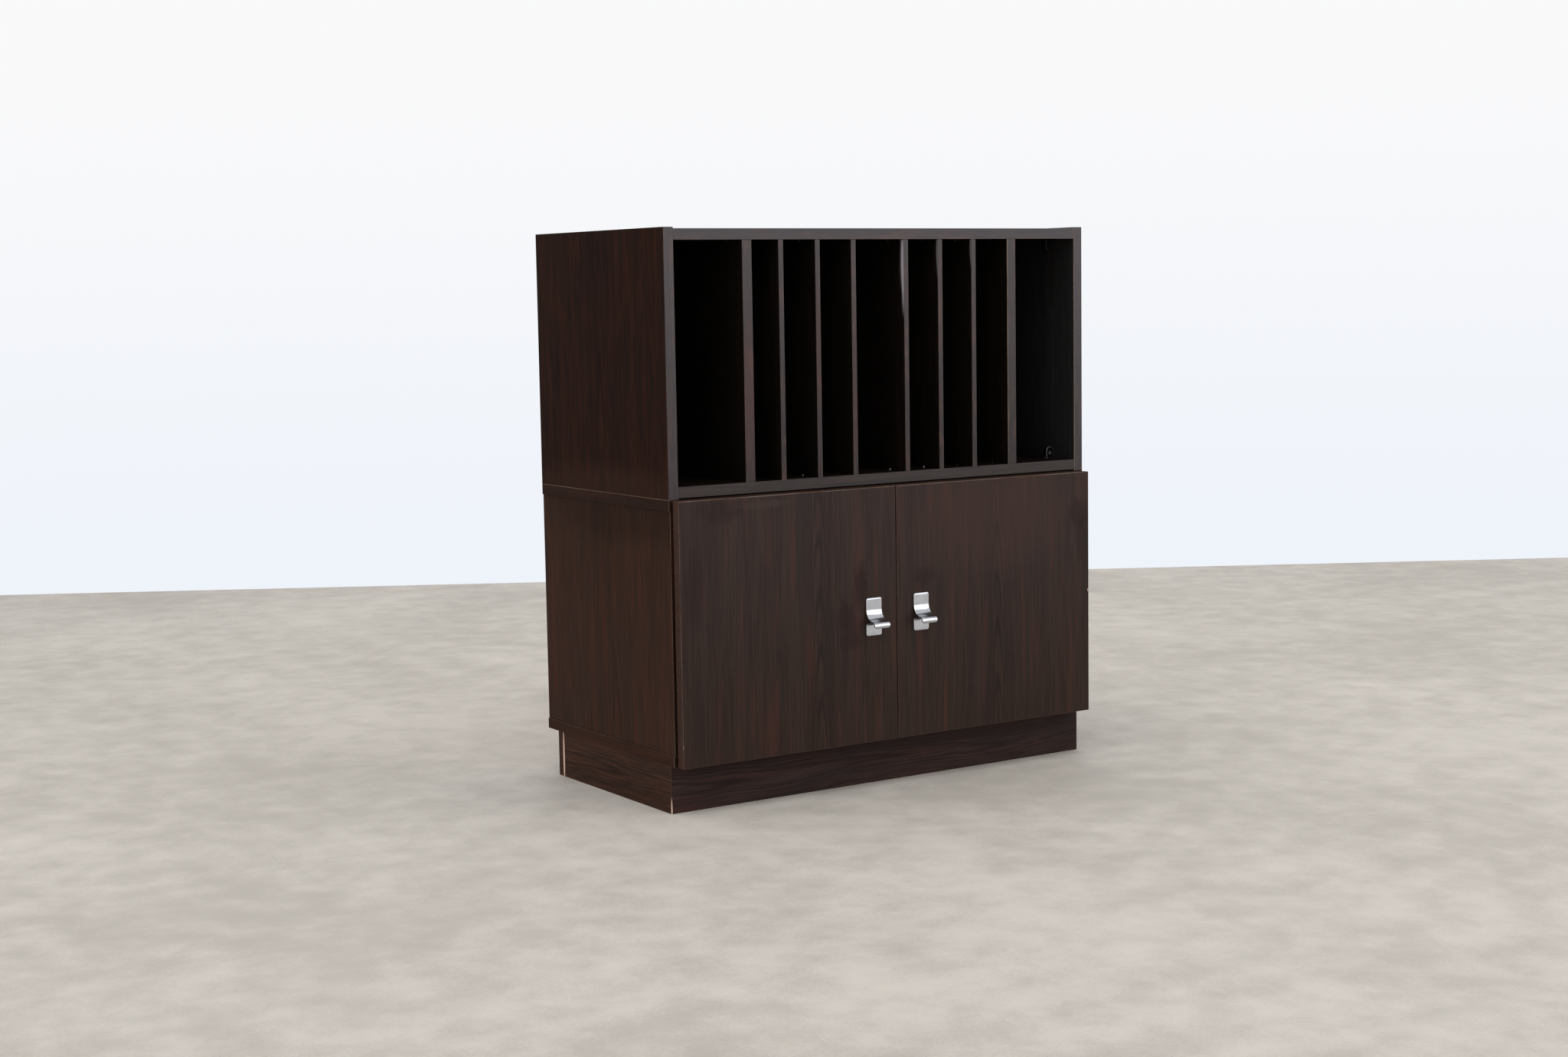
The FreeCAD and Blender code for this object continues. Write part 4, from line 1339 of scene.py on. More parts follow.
BAND = Laminate("edge_band_upright", 11.0, tones=((39, 34, 36), (50, 43, 44), (63, 53, 54)),
                red=(84, 58, 55), grey=(45, 42, 46), line=(36, 30, 30), raw=(196, 172, 148), broken=3.0,
                figure=0.0, gloss=0.36, sheen=0.3, bleach=PAINTED_TOP_LIGHT)
UPRIGHT_BAND = replace(
    BAND, name="edge_band_mottled", tones=((35, 29, 29), (45, 36, 36), (58, 46, 45)), red=(84, 54, 49),
    grey=(44, 40, 43), broken=5.0, sheen=0.26,
    spots=(Spot((-0.244, BAND_FACE, 0.60), (0.014, THROUGH, 0.13), (80, 50, 44), 0.45, 1.8),
           Spot((-0.122, BAND_FACE, 0.66), (0.014, THROUGH, 0.12), (76, 50, 46), 0.4, 1.8),
           Spot((-0.058, BAND_FACE, 0.60), (0.014, THROUGH, 0.16), (72, 50, 46), 0.4, 1.8)))
BAND_ACROSS = replace(BAND, name="edge_band_across", seed=12.0, run=GrainRun.ACROSS,
                      tones=((37, 32, 34), (47, 40, 41), (58, 49, 49)), red=(82, 58, 53),
                      grey=(44, 42, 47), line=(36, 31, 32), raw=(150, 128, 110), sheen=0.28)
LOW_BAND = Laminate("edge_band_low", 14.0, GrainRun.ACROSS, ((38, 33, 32), (49, 42, 41), (62, 51, 48)),
                    (62, 46, 43), (44, 44, 44), (35, 32, 32), figure=0.0, gloss=0.38, sheen=0.25)
# Front bands of the lower case, darkened as painted shade behind the doors.
SHADED_BAND = Laminate("edge_band_shaded", 15.0, tones=DARK_TONES, red=(40, 24, 20), grey=(28, 25, 24),
                     line=(16, 13, 12), raw=(172, 156, 138), figure=0.0, sheen=0.05)
BAND_DEPTH = Laminate("edge_band_depth", 13.0, GrainRun.DEPTH, ((50, 33, 25), (58, 38, 30), (66, 44, 34)),
                      (68, 40, 30), (50, 38, 30), (36, 25, 20), raw=(176, 162, 148), wave=0.006,
                      figure=0.0, sheen=0.02)
# Darker copy of the end band, as painted shade at the seam under the upper case.
SHADED_SEAM_BAND = replace(BAND_DEPTH, name="edge_band_seam_shaded", tones=((38, 24, 18), (46, 29, 22), (54, 34, 27)),
                    red=(59, 35, 27), grey=(40, 28, 22), line=(26, 17, 14))
DOOR_CHIP = Spot((-0.377, DOOR_FACE, 0.102), (0.0025, 0.0025, 0.004), (150, 128, 118), 0.8, 0.5)
DOOR_BAND = replace(BAND_DEPTH, name="door_edge_band", seed=16.0, run=GrainRun.ACROSS,
                    tones=((58, 42, 37), (68, 50, 44), (78, 58, 50)), red=(78, 50, 42),
                    grey=(60, 50, 45), line=(42, 31, 28), raw=(168, 152, 142), spots=(DOOR_CHIP,))
INSIDE = Laminate("inside_laminate", 21.0, tones=INSIDE_TONES, red=(32, 21, 17), grey=(21, 19, 17),
                  line=(12, 10, 9), figure=0.15, gloss=0.5, sheen=0.02)
INSIDE_DEPTH = Laminate("inside_laminate_depth", 22.0, GrainRun.DEPTH, INSIDE_TONES, (27, 16, 14),
                        (18, 16, 15), (10, 8, 8), figure=0.1, gloss=0.5, sheen=0.02)
CHIPBOARD = RawBoard("raw_chipboard", 31.0)
HARDBOARD = RawBoard("raw_hardboard", 32.0, 0.0012, (140, 100, 68), (84, 56, 38))
BEECH = SolidWood("raw_beech", 33.0)
ALUMINIUM = Metal("satin_aluminium_finish", 41.0, (202, 205, 213), (193, 196, 204), 0.12, 0.002 * MM)
NICKEL = Metal("nickel_plate", 42.0, (188, 186, 180), (160, 158, 152), 0.24)
ZINC = Metal("zinc_plate", 43.0, (196, 194, 184), (160, 158, 150), 0.30)
# Lit and shaded copies of one steel: pin_steel is the lit copy with painted glints, the dark one is
# painted shade on pins and cams.
PIN_STEEL = Metal("pin_steel", 44.0, (205, 203, 200), (120, 118, 114), 0.2)
SHADED_STEEL = Metal("shaded_steel", 45.0, (52, 50, 48), (18, 17, 16), 0.4)
BROWN = Moulded("brown_moulding", 51.0)
# Corner fittings: the pale tone is the painted highlight on their rims and arches.
FITTING = Moulded("fitting_moulding", 53.0, (20, 17, 17), (13, 11, 11), 0.34, (196, 192, 186))
FERRITE = Moulded("ferrite", 52.0, (48, 47, 48), (34, 33, 34), 0.55)

LEFT_DOOR_MARKS = (
    Spot((-0.066, DOOR_FACE, 0.308), (0.019, THROUGH, 0.042), GREASE, 0.7, 1.6),
    Spot((-0.094, DOOR_FACE, 0.262), (0.022, THROUGH, 0.034), GREASE, 0.7, 1.6),
    Spot((-0.086, DOOR_FACE, 0.226), (0.030, THROUGH, 0.018), GREASE, 0.6, 1.6),
    Spot((-0.312, DOOR_FACE, 0.436), (0.050, THROUGH, 0.026), GREASE, 0.5, 1.6),
    Spot((-0.235, DOOR_FACE, 0.440), (0.055, THROUGH, 0.008), (66, 55, 51), 0.5, 1.2),
    Spot((-0.356, DOOR_FACE, 0.320), (0.024, THROUGH, 0.085), GREASE, 0.5, 1.6),
)
RIGHT_DOOR_MARKS_AND_LIGHT = (
    Spot((0.354, DOOR_FACE, 0.388), (0.030, THROUGH, 0.034), DARK_SCUFF, 0.55, 1.7),
    Spot((0.366, DOOR_FACE, 0.345), (0.018, THROUGH, 0.060), DARK_SCUFF, 0.45, 1.5),
    Spot((0.378, DOOR_FACE, 0.264), (0.003, THROUGH, 0.004), RAW_LINE, 1.0, 0.5),
    Spot((0.052, DOOR_FACE, 0.312), (0.026, THROUGH, 0.022), GREASE, 0.5, 1.7),
    # Painted light: a broad lighter patch over the door's upper part.
    Spot((0.190, DOOR_FACE, 0.395), (0.22, THROUGH, 0.11), (72, 52, 47), 0.35, 0.4),
)


# ---- Sub-assemblies --------------------------------------------------------------------------


BAY_FOOT = low("divider_1").z
BAY_MIDDLE = (BAY_FOOT + high("divider_1").z) / 2


@dataclass
class UpperCase(Boardwork):
    """Open case for the records: four boards with front bands, and a back panel."""

    side_band_ease: float = 0.45 * MM
    seam: float = low("upper_left_side").z
    outer: float = high("upper_right_side").x
    top: float = high("upper_right_side").z
    front: float = low("upper_left_side_edging").y
    ceiling: float = low("upper_top_board_edging").z
    seam_wear: float = 0.8
    front_wear: float = 0.08
    rubbed_wear: float = 0.65
    rubbed_right: tuple[float, float] = (12.0 * MM, 20.0 * MM)
    rubbed_ceiling: tuple[float, float] = (-20.0 * MM, 34.0 * MM)
    lit_rim: tuple[float, float] = (2.5 * MM, 1.5 * MM)

    def side_finish(self, seed: float, x: float) -> Laminate:
        """Outer face of a side: very dark, with fine upright grain, and painted light near its foot.

        Args:
            seed: Which stretch of the print it shows.
            x: Where the face is.

        Returns:
            The finish.
        """
        # The spot is painted light: the side turns lighter towards its foot, beside the lower case.
        return Laminate("upper_side_%d" % seed, seed, tones=DARK_TONES, red=(56, 29, 21),
                        grey=(27, 20, 17), line=(18, 12, 11), middle=(x, 0.02, 0.64), spread=0.016,
                        rise=0.16, wave=0.014, broken=1.7, figure=0.5, sheen=0.012,
                        spots=(Spot((x, 0.0, 0.458), (0.01, 0.35, 0.05), (62, 42, 35), 0.42, 0.5),))

    def wear(self, place: Vector) -> float:
        """Rubbed where the cases meet, inside the right side's band and below the top board's.

        Args:
            place: Middle of a rim.

        Returns:
            How worn it is, from 0 to 1.
        """
        if place.z < self.seam + NEAR and abs(place.x) > self.outer - NEAR:
            return self.seam_wear
        on_right = self.rubbed_right[0] < self.outer - place.x < self.rubbed_right[1]
        on_ceiling = self.rubbed_ceiling[0] < place.x < self.rubbed_ceiling[1]
        rubbed = on_right or (on_ceiling and abs(place.z - self.ceiling) < NEAR)
        return self.rubbed_wear if rubbed and place.y < self.front + NEAR else self.front_wear

    def boards(self) -> list[Board]:
        """Every board, band and panel of the case.

        Returns:
            The boards, not yet made.
        """
        lit = (self.top - self.lit_rim[0], self.top - self.lit_rim[1], 0.4)
        inner = replace(INSIDE, name="inside_laminate_to_top", bleach=lit)
        lighter = replace(inner, name="inside_laminate_lit", red=(42, 38, 37), grey=(38, 38, 38),
                          line=(26, 26, 26), tones=((33, 32, 32), (40, 39, 39), (47, 45, 45)))
        across = Laminate("upper_top_face", 63.0, GrainRun.ACROSS, middle=(0.0, 0.02, self.top),
                          figure=0.3, dust=0.1)
        below = {Way.DOWN: INSIDE_DEPTH, Way.BACK: CHIPBOARD}
        made = []
        for name, way, inside, seed, x in (("left", Way.RIGHT, inner, 61.0, -self.outer),
                                           ("right", Way.LEFT, lighter, 62.0, self.outer)):
            outside = self.side_finish(seed, x)
            sides = {way: inside, Way.UP: BAND_DEPTH, Way.BACK: CHIPBOARD, Way.DOWN: CHIPBOARD}
            made += [Board(f"upper_{name}_side", outside, sides, self.ease, self.wear),
                     Board(f"upper_{name}_side_edging", BAND, {}, self.side_band_ease, self.wear)]
        return [*made, Board("upper_top_board", across, below, self.ease, self.wear),
                Board("upper_bottom_board", CHIPBOARD, {Way.UP: INSIDE_DEPTH}, self.ease),
                Board("upper_top_board_edging", BAND_ACROSS, {}, self.band_ease, self.wear),
                Board("upper_bottom_board_edging", LOW_BAND, {}, self.band_ease, self.wear),
                Board("upper_back_panel", HARDBOARD, {Way.FRONT: INSIDE}, self.panel_ease)]


@dataclass
class Uprights:
    """Partitions and dividers, with their front bands and the pins that hold them."""

    ease: float = 0.3 * MM
    band_ease: float = 0.45 * MM
    partitions: tuple[str, ...] = ("left_partition", "right_partition")
    dividers: tuple[str, ...] = tuple(f"divider_{number}" for number in range(1, 7))
    pin: Pin = Pin()
    front: float = low("divider_edgings").y
    worn_left: float = low("right_partition").x
    shining: tuple[str, ...] = ("divider_2", "divider_4", "divider_5")
    front_wear: float = 0.12
    rubbed_wear: float = 0.75
    back_wear: float = 0.05
    scuffs: tuple[tuple[str, float, float, float], ...] = (
        ("divider_4", 10.0 * MM, 95.0 * MM, 1.0), ("divider_5", 5.0 * MM, 50.0 * MM, 0.35),
        ("divider_6", 5.0 * MM, 35.0 * MM, 0.3))

    def wear(self, place: Vector) -> float:
        """Sleeves rub the front rims, and the right partition's left one down to the board.

        Args:
            place: Middle of a rim.

        Returns:
            How worn it is, from 0 to 1.
        """
        if place.y > self.front + NEAR:
            return self.back_wear
        return self.rubbed_wear if abs(place.x - self.worn_left) < NEAR else self.front_wear

    def heads(self, middle: Vector) -> Vector:
        """Pins stand up from the bottom board and hang from the top one."""
        return Vector((Way.UP if middle.z < BAY_MIDDLE else Way.DOWN).value)

    def shines(self, length: float, middle: Vector) -> bool:
        """True for a standing pin on the left of a divider, whose pins get painted glints."""
        beside = any(0.0 < low(name).x - middle.x < 2 * self.pin.radius for name in self.shining)
        return middle.z < BAY_MIDDLE and beside

    def dull(self, length: float, middle: Vector) -> bool:
        """True for every other pin."""
        return not self.shines(length, middle)

    def build(self) -> list[bpy.types.Object]:
        """Makes every upright, band and pin.

        Returns:
            The pieces.
        """
        faces = dict.fromkeys((*self.partitions, *self.dividers), INSIDE)
        # Pale patches at the dividers' top front: partly scuffs, partly a painted highlight of grazing
        # light.
        for name, deep, tall, strength in self.scuffs:
            (x, y, _), (_, _, top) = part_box(name)
            spot = Spot((x, y, top - tall * 0.3), (0.002, deep, tall), SCUFF_HIGHLIGHT, strength, 1.0)
            faces[name] = replace(INSIDE, name=name.replace("divider", "inside_scuffed"), spots=(spot,))
        made = [Board(name, face, {Way.BACK: CHIPBOARD}, self.ease, self.wear).make()
                for name, face in faces.items()]
        made.append(Board("divider_edgings", UPRIGHT_BAND, {}, self.band_ease, self.wear).make())
        # Pins are split into a lit copy with painted glints and a shaded copy with painted shade.
        for finish, keep, title in ((PIN_STEEL, self.shines, "shining"), (SHADED_STEEL, self.dull, "dull")):
            made.append(FastenerSet("divider_pins", self.pin, self.heads, finish, keep, title).make())
        return made


@dataclass
class LowerCase(Boardwork):
    """Case behind the doors: four boards with their bands, and a back panel."""

    front: float = low("lower_side_edgings").y
    outer: float = high("lower_side_edgings").x
    foot: float = low("lower_left_side").z
    seam: float = high("lower_top_board_edging").z
    # Partly painted highlight: the outer front rims stand for the band's lit strip beside the door.
    front_wear: float = 0.4
    foot_wear: float = 0.2
    seam_wear: float = 0.7
    other_wear: float = 0.06

    def wear(self, place: Vector) -> float:
        """The outer front rims are lighter than the rest: rub wear and a painted highlight of the band's
        lit strip.

        Args:
            place: Middle of a rim.

        Returns:
            How worn it is, from 0 to 1.
        """
        outer = abs(place.x) > self.outer - NEAR
        if outer and place.y < self.front + NEAR:
            return self.front_wear
        if outer and place.z > self.seam - NEAR:
            return self.seam_wear
        return self.foot_wear if place.z < self.foot + NEAR else self.other_wear

    def boards(self) -> list[Board]:
        """Every board, band and panel of the case.

        Returns:
            The boards, not yet made.
        """
        made = []
        for name, inside, seed, x in (("left", Way.RIGHT, 71.0, low("lower_left_side").x),
                                      ("right", Way.LEFT, 72.0, high("lower_right_side").x)):
            # Painted shade at the top, under the upper case, and painted light lower down, lighter towards
            # the floor.
            shade = Spot((x, 0.0, 0.44), (0.01, 0.35, 0.08), (38, 23, 16), 0.5, 0.5)
            outer = Laminate("lower_side_%d" % seed, seed, middle=(x, 0.0, 0.2), spots=(shade,),
                             tones=((48, 31, 23), (58, 38, 29), (68, 45, 34)), red=(71, 40, 29),
                             grey=(45, 34, 27), line=(30, 20, 16), spread=0.018, rise=0.2, wave=0.012,
                             broken=1.4, figure=0.4, sheen=0.02, bleach=(0.42, 0.12, 0.012))
            sides = {inside: INSIDE, Way.BACK: CHIPBOARD}
            made.append(Board(f"lower_{name}_side", outer, sides, self.ease, self.wear))
        edgings = [Board(f"lower_{name}_board_edging", SHADED_BAND, {Way.LEFT: end, Way.RIGHT: end},
                         self.band_ease, self.wear)
                   for name, end in (("top", SHADED_SEAM_BAND), ("bottom", BAND_DEPTH))]
        top = Laminate("lower_top_face", 73.0, GrainRun.ACROSS, figure=0.3)
        below = {Way.DOWN: INSIDE_DEPTH, Way.BACK: CHIPBOARD}
        return [*made, Board("lower_side_edgings", SHADED_BAND, {}, self.band_ease, self.wear),
                Board("lower_top_board", top, below, self.ease),
                Board("lower_bottom_board", CHIPBOARD, {Way.UP: INSIDE_DEPTH}, self.ease), *edgings,
                Board("lower_back_panel", HARDBOARD, {Way.FRONT: INSIDE}, self.panel_ease)]


@dataclass
class Plinth(Boardwork):
    """Recessed plinth: boards with the grain along them, and blocks in the corners."""

    block_ease: float = 0.5 * MM
    front: float = low("plinth_front").y
    outer: float = high("plinth_front").x
    half_height: float = 35.0 * MM
    corner_wear: float = 0.8
    other_wear: float = 0.05
    knocked: float = 25.0 * MM

    def finish(self, name: str, run: GrainRun, seed: float, x: float, y: float, tones: Tones,
               **more: Any) -> Laminate:
        """Laminate with a wavy figure along the board.

        Args:
            name: Name of the finish.
            run: Way of the grain.
            seed: Which stretch of the print it shows.
            x: Where the growth figure is centred along X.
            y: Where it is centred along Y.
            tones: Dark, plain and light tone.
            more: Other fields of the finish.

        Returns:
            The finish.
        """
        joint = (low("plinth_left_side").x, high("plinth_left_side").y, 0.030)
        crack = Spot(joint, (0.002, 0.0035, 0.062), RAW_LINE, 1.0, 0.15)
        knock = Spot((-self.outer, self.front, 0.006), (0.0020, 0.0020, 0.022), RAW_LINE, 1.0, 0.3)
        hues = {"red": (78, 42, 32), "grey": (46, 36, 31), "line": (24, 17, 15), **more}
        return Laminate(name, seed, run, tones, middle=(x, y, self.half_height), spread=0.012, rise=0.25,
                        wave=0.03, figure=0.6, sheen=0.03, spots=(crack, knock), **hues)

    def wear(self, place: Vector) -> float:
        """The front corners are knocked, most of all low down.

        Args:
            place: Middle of a rim.

        Returns:
            How worn it is, from 0 to 1.
        """
        if place.y > self.front + NEAR or abs(place.x) < self.outer - NEAR:
            return self.other_wear
        return self.corner_wear if place.z < self.knocked else self.corner_wear / 2

    def boards(self) -> list[Board]:
        """The boards and the blocks.

        Returns:
            The boards, not yet made.
        """
        across = self.finish("plinth_across", GrainRun.ACROSS, 81.0, 0.0, self.front,
                             ((45, 35, 33), (54, 42, 40), (63, 49, 46)), red=(66, 44, 41),
                             grey=(48, 41, 40), line=(35, 28, 27))
        left, right = (self.finish(f"plinth_{name}_depth", GrainRun.DEPTH, 82.0, x, 0.0,
                                   ((54, 36, 29), (67, 45, 36), (80, 54, 43)))
                       for name, x in (("left", -self.outer), ("right", self.outer)))
        raw = {Way.UP: CHIPBOARD, Way.DOWN: CHIPBOARD}
        ends = {Way.LEFT: left, Way.RIGHT: right, **raw}
        return [Board("plinth_front", across, {Way.BACK: CHIPBOARD, **ends}, self.ease, self.wear),
                Board("plinth_back", across, {Way.FRONT: CHIPBOARD, **ends}, self.ease, self.wear),
                Board("plinth_corner_blocks", BEECH, {}, self.block_ease),
                Board("plinth_left_side", left, {Way.RIGHT: CHIPBOARD, **raw}, self.ease, self.wear),
                Board("plinth_right_side", right, {Way.LEFT: CHIPBOARD, **raw}, self.ease, self.wear)]


@dataclass
class Pull:
    """Aluminium pull: a strap that curves out and turns over into a lip, and a flat tab behind it."""

    side: str
    sheet: float = 2.5 * MM
    corner: float = 3.5 * MM
    curve_start: float = 17.0 * MM
    curve: float = 17.2 * MM
    lip: float = 6.2 * MM
    lip_turn: float = math.radians(40)
    tab: float = 19.0 * MM
    ease: float = 0.6 * MM
    crease: float = math.radians(20)
    arc_steps: int = 24

    def arc(self, middle: tuple[float, float], radius: float, start: float, end: float,
            facing: int) -> list[Bend]:
        """Bends along an arc in the YZ plane.

        Args:
            middle: Its centre.
            radius: Its radius.
            start: First angle, in radians from +Y towards +Z.
            end: Last angle.
            facing: 1 if the strap's face looks away from the centre, -1 if it looks towards it.

        Returns:
            The bends, both ends among them.
        """
        made = []
        for step in range(self.arc_steps + 1):
            angle = start + (end - start) * step / self.arc_steps
            out = (math.cos(angle), math.sin(angle))
            made.append((middle[0] + radius * out[0], middle[1] + radius * out[1],
                         facing * out[0], facing * out[1]))
        return made

    def bends(self) -> list[Bend]:
        """Middle of the strap's sheet, from the top of its plate to the end of its lip.

        Returns:
            The bends.
        """
        lowest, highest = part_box(f"{self.side}_pull")
        face = highest.y - self.sheet
        hollow = (face - self.curve, highest.z - self.curve_start)
        forward = self.curve + self.lip - (face - lowest.y)
        drop = math.sqrt((self.curve + self.lip) ** 2 - forward ** 2)
        turn = math.atan2(-drop, forward)
        lip = (hollow[0] + forward, hollow[1] - drop)
        inner = self.sheet / 2
        plate = (highest.y - inner, highest.z, -1.0, 0.0)
        return [plate, *self.arc(hollow, self.curve + inner, 0.0, turn, -1),
                *self.arc(lip, self.lip - inner, turn + math.pi, math.pi + self.lip_turn, 1)[1:]]

    def build(self) -> bpy.types.Object:
        """Makes the pull in place of its CAD node.

        Returns:
            The piece.
        """
        name = f"{self.side}_pull"
        lowest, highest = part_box(name)
        middle = highest.y - self.sheet / 2
        tab = [(middle, z, -1.0, 0.0) for z in (lowest.z, lowest.z + self.tab)]
        shape = bmesh.new()
        for bends in (self.bends(), tab):
            Strap(bends, lowest.x, highest.x, self.sheet, self.corner, self.ease).add_to(shape)
        piece = finished(shape, name + "_strap", name, [ALUMINIUM])
        piece.data.set_sharp_from_angle(angle=self.crease)
        return piece


@dataclass
class Door:
    """A door: its laminated panel, four edge bands, pull, strike plate and hinge cups."""

    side: str
    spots: tuple[Spot, ...]
    figure_middle: float
    seed: float
    ease: float = 0.45 * MM
    panel_ease: float = 0.05 * MM
    top_wear: float = 0.7
    left_wear: float = 0.35
    front_wear: float = 0.1
    back_wear: float = 0.05
    pull_screw: PanScrew = PanScrew(shank_radius=1.9 * MM, shank_length=17.8 * MM)

    def wear(self, place: Vector) -> float:
        """The front rims are rubbed along the top and down the left.

        Args:
            place: Middle of a rim.

        Returns:
            How worn it is, from 0 to 1.
        """
        lowest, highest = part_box(f"{self.side}_door_edging")
        if place.y > lowest.y + NEAR:
            return self.back_wear
        if place.z > highest.z - NEAR:
            return self.top_wear
        return self.left_wear if place.x < lowest.x + NEAR else self.front_wear

    def build(self) -> list[bpy.types.Object]:
        """Makes the panel, its bands and the pull, and dresses the small CAD pieces.

        Returns:
            The pieces.
        """
        front = low(f"{self.side}_door_panel").y
        # The face is painted lighter towards the top, as painted light from above.
        outside = Laminate(f"{self.side}_door_face", self.seed, red=(69, 42, 36), grey=(40, 33, 30),
                           tones=((41, 31, 27), (49, 37, 32), (57, 43, 37)), line=(30, 23, 21),
                           middle=(self.figure_middle, front, 0.30), spread=0.011, rise=0.08,
                           wave=0.007, figure=0.7, sheen=0.07, bleach=(0.07, 0.45, 0.027),
                           spots=self.spots)
        made = [Board(f"{self.side}_door_panel", outside, {Way.BACK: INSIDE}, self.panel_ease).make(),
                Board(f"{self.side}_door_edging", DOOR_BAND, {}, self.ease, self.wear).make(),
                Pull(self.side).build()]
        for part, screw in (("hinge_cup_screws", PanScrew()), ("pull_screws", self.pull_screw)):
            made.append(FastenerSet(f"{self.side}_{part}", screw, backward, ZINC).make())
        for part in ("hinge_cups", "hinge_pins", "strike_plate"):
            made.append(dress(f"{self.side}_{part}", NICKEL))
        return made


@dataclass
class Hardware:
    """Fittings, screws, hinge arms, catches and dowels inside the cases."""

    bolt: Pin = Pin(1.8 * MM, 16.0 * MM, 2.0 * MM, 0.4 * MM)
    cam: PanScrew = PanScrew(3.0 * MM, 0.4 * MM, 2.9 * MM, 7.0 * MM, 0.8 * MM, 3.6 * MM)
    adjuster: PanScrew = PanScrew(2.4 * MM, 0.5 * MM, 2.3 * MM, 1.7 * MM, 0.6 * MM, 3.0 * MM)
    plate_screw: PanScrew = PanScrew(shank_length=12.6 * MM)
    catch_screw: PanScrew = PanScrew(shank_length=14.0 * MM)
    block_screw: PanScrew = PanScrew(shank_length=50.0 * MM)
    arm_screw: PanScrew = PanScrew(shank_length=6.4 * MM)
    bolt_length: float = 10.0 * MM
    fixing_length: float = 5.0 * MM
    fitting_edge: float = 0.3 * MM
    fitting_highlight: float = 0.7

    def wear(self, place: Vector) -> float:
        """Rims of the upper case's lower fittings get a painted highlight; the upper ones, in shade, get
        none.
        """
        return self.fitting_highlight if BAY_FOOT < place.z < BAY_MIDDLE else 0.0

    def is_bolt(self, length: float, middle: Vector) -> bool:
        """True for a solid that is long into the case."""
        return length > self.bolt_length

    def is_fixing(self, length: float, middle: Vector) -> bool:
        """True for a screw that goes in further than an adjuster."""
        return length > self.fixing_length

    def is_adjuster(self, length: float, middle: Vector) -> bool:
        """True for every other screw."""
        return not self.is_fixing(length, middle)

    def is_low_cam(self, length: float, middle: Vector) -> bool:
        """True for a cam within sight."""
        return self.is_fixing(length, middle) and middle.z < BAY_MIDDLE

    def is_high_cam(self, length: float, middle: Vector) -> bool:
        """True for a cam in the upper case's shaded top."""
        return self.is_fixing(length, middle) and middle.z > BAY_MIDDLE

    def build(self) -> list[bpy.types.Object]:
        """Makes the screws and dresses the fittings.

        Returns:
            The pieces.
        """
        fittings, arms = "corner_fitting_screws", "hinge_arm_screws"
        sets = [FastenerSet(fittings, self.bolt, inwards, ZINC, self.is_bolt, "bolts"),
                FastenerSet(fittings, self.cam, forward, ZINC, self.is_low_cam, "cams"),
                FastenerSet(fittings, self.cam, forward, SHADED_STEEL, self.is_high_cam, "upper_cams"),
                FastenerSet("hinge_plate_screws", self.plate_screw, inwards, ZINC),
                FastenerSet("catch_screws", self.catch_screw, down, ZINC),
                FastenerSet("plinth_block_screws", self.block_screw, down, ZINC),
                FastenerSet(arms, self.arm_screw, inwards, ZINC, self.is_fixing),
                FastenerSet(arms, self.adjuster, inwards, ZINC, self.is_adjuster, "adjusters")]
        blocks = FittingBlocks("corner_fittings", FITTING, wear=self.wear, shortest=self.fitting_edge)
        dressed = {"hinge_arms": NICKEL, "hinge_mounting_plates": NICKEL, "catch_housings": BROWN,
                   "catch_magnets": FERRITE, "dowels": BEECH}
        return [*(made.make() for made in sets), blocks.make(),
                *(dress(node, finish) for node, finish in dressed.items())]


# ---- Studio ----------------------------------------------------------------------------------


@dataclass(frozen=True)
class Concrete(Finish):
    """Pale plain floor with slow clouds of tone."""

    pale: Colour = (201, 195, 187)
    dark: Colour = (177, 171, 163)

    def surface(self, wiring: Wiring, place: Socket) -> dict[str, Any]:
        """Clouds of tone and fine specks over a matt floor.

        Args:
            wiring: The material's tree.
            place: Object coordinates.

        Returns:
            What goes into each input of the shader.
        """
        cloud = wiring.noise(place, (1.6, 1.6, 1.0), self.seed, 5.0, 0.62)
        mottle = wiring.noise(place, 14.0, self.seed, 4.0, 0.6)
        grit = wiring.noise(place, 220.0, self.seed)
        level = wiring.total((cloud, 0.42), (mottle, 0.4), (grit, 0.18))
        speck = wiring.noise(place, 420.0, self.seed, 1.0)
        colour = wiring.blend(wiring.span(level, 0.38, 0.62), self.dark, self.pale)
        return {"Base Color": wiring.blend(wiring.span(speck, 0.68, 0.74, 0.0, 0.4), colour, SPECKS),
                "Roughness": wiring.span(grit, 0.3, 0.7, 0.55, 0.7), "Specular IOR Level": 0.2}


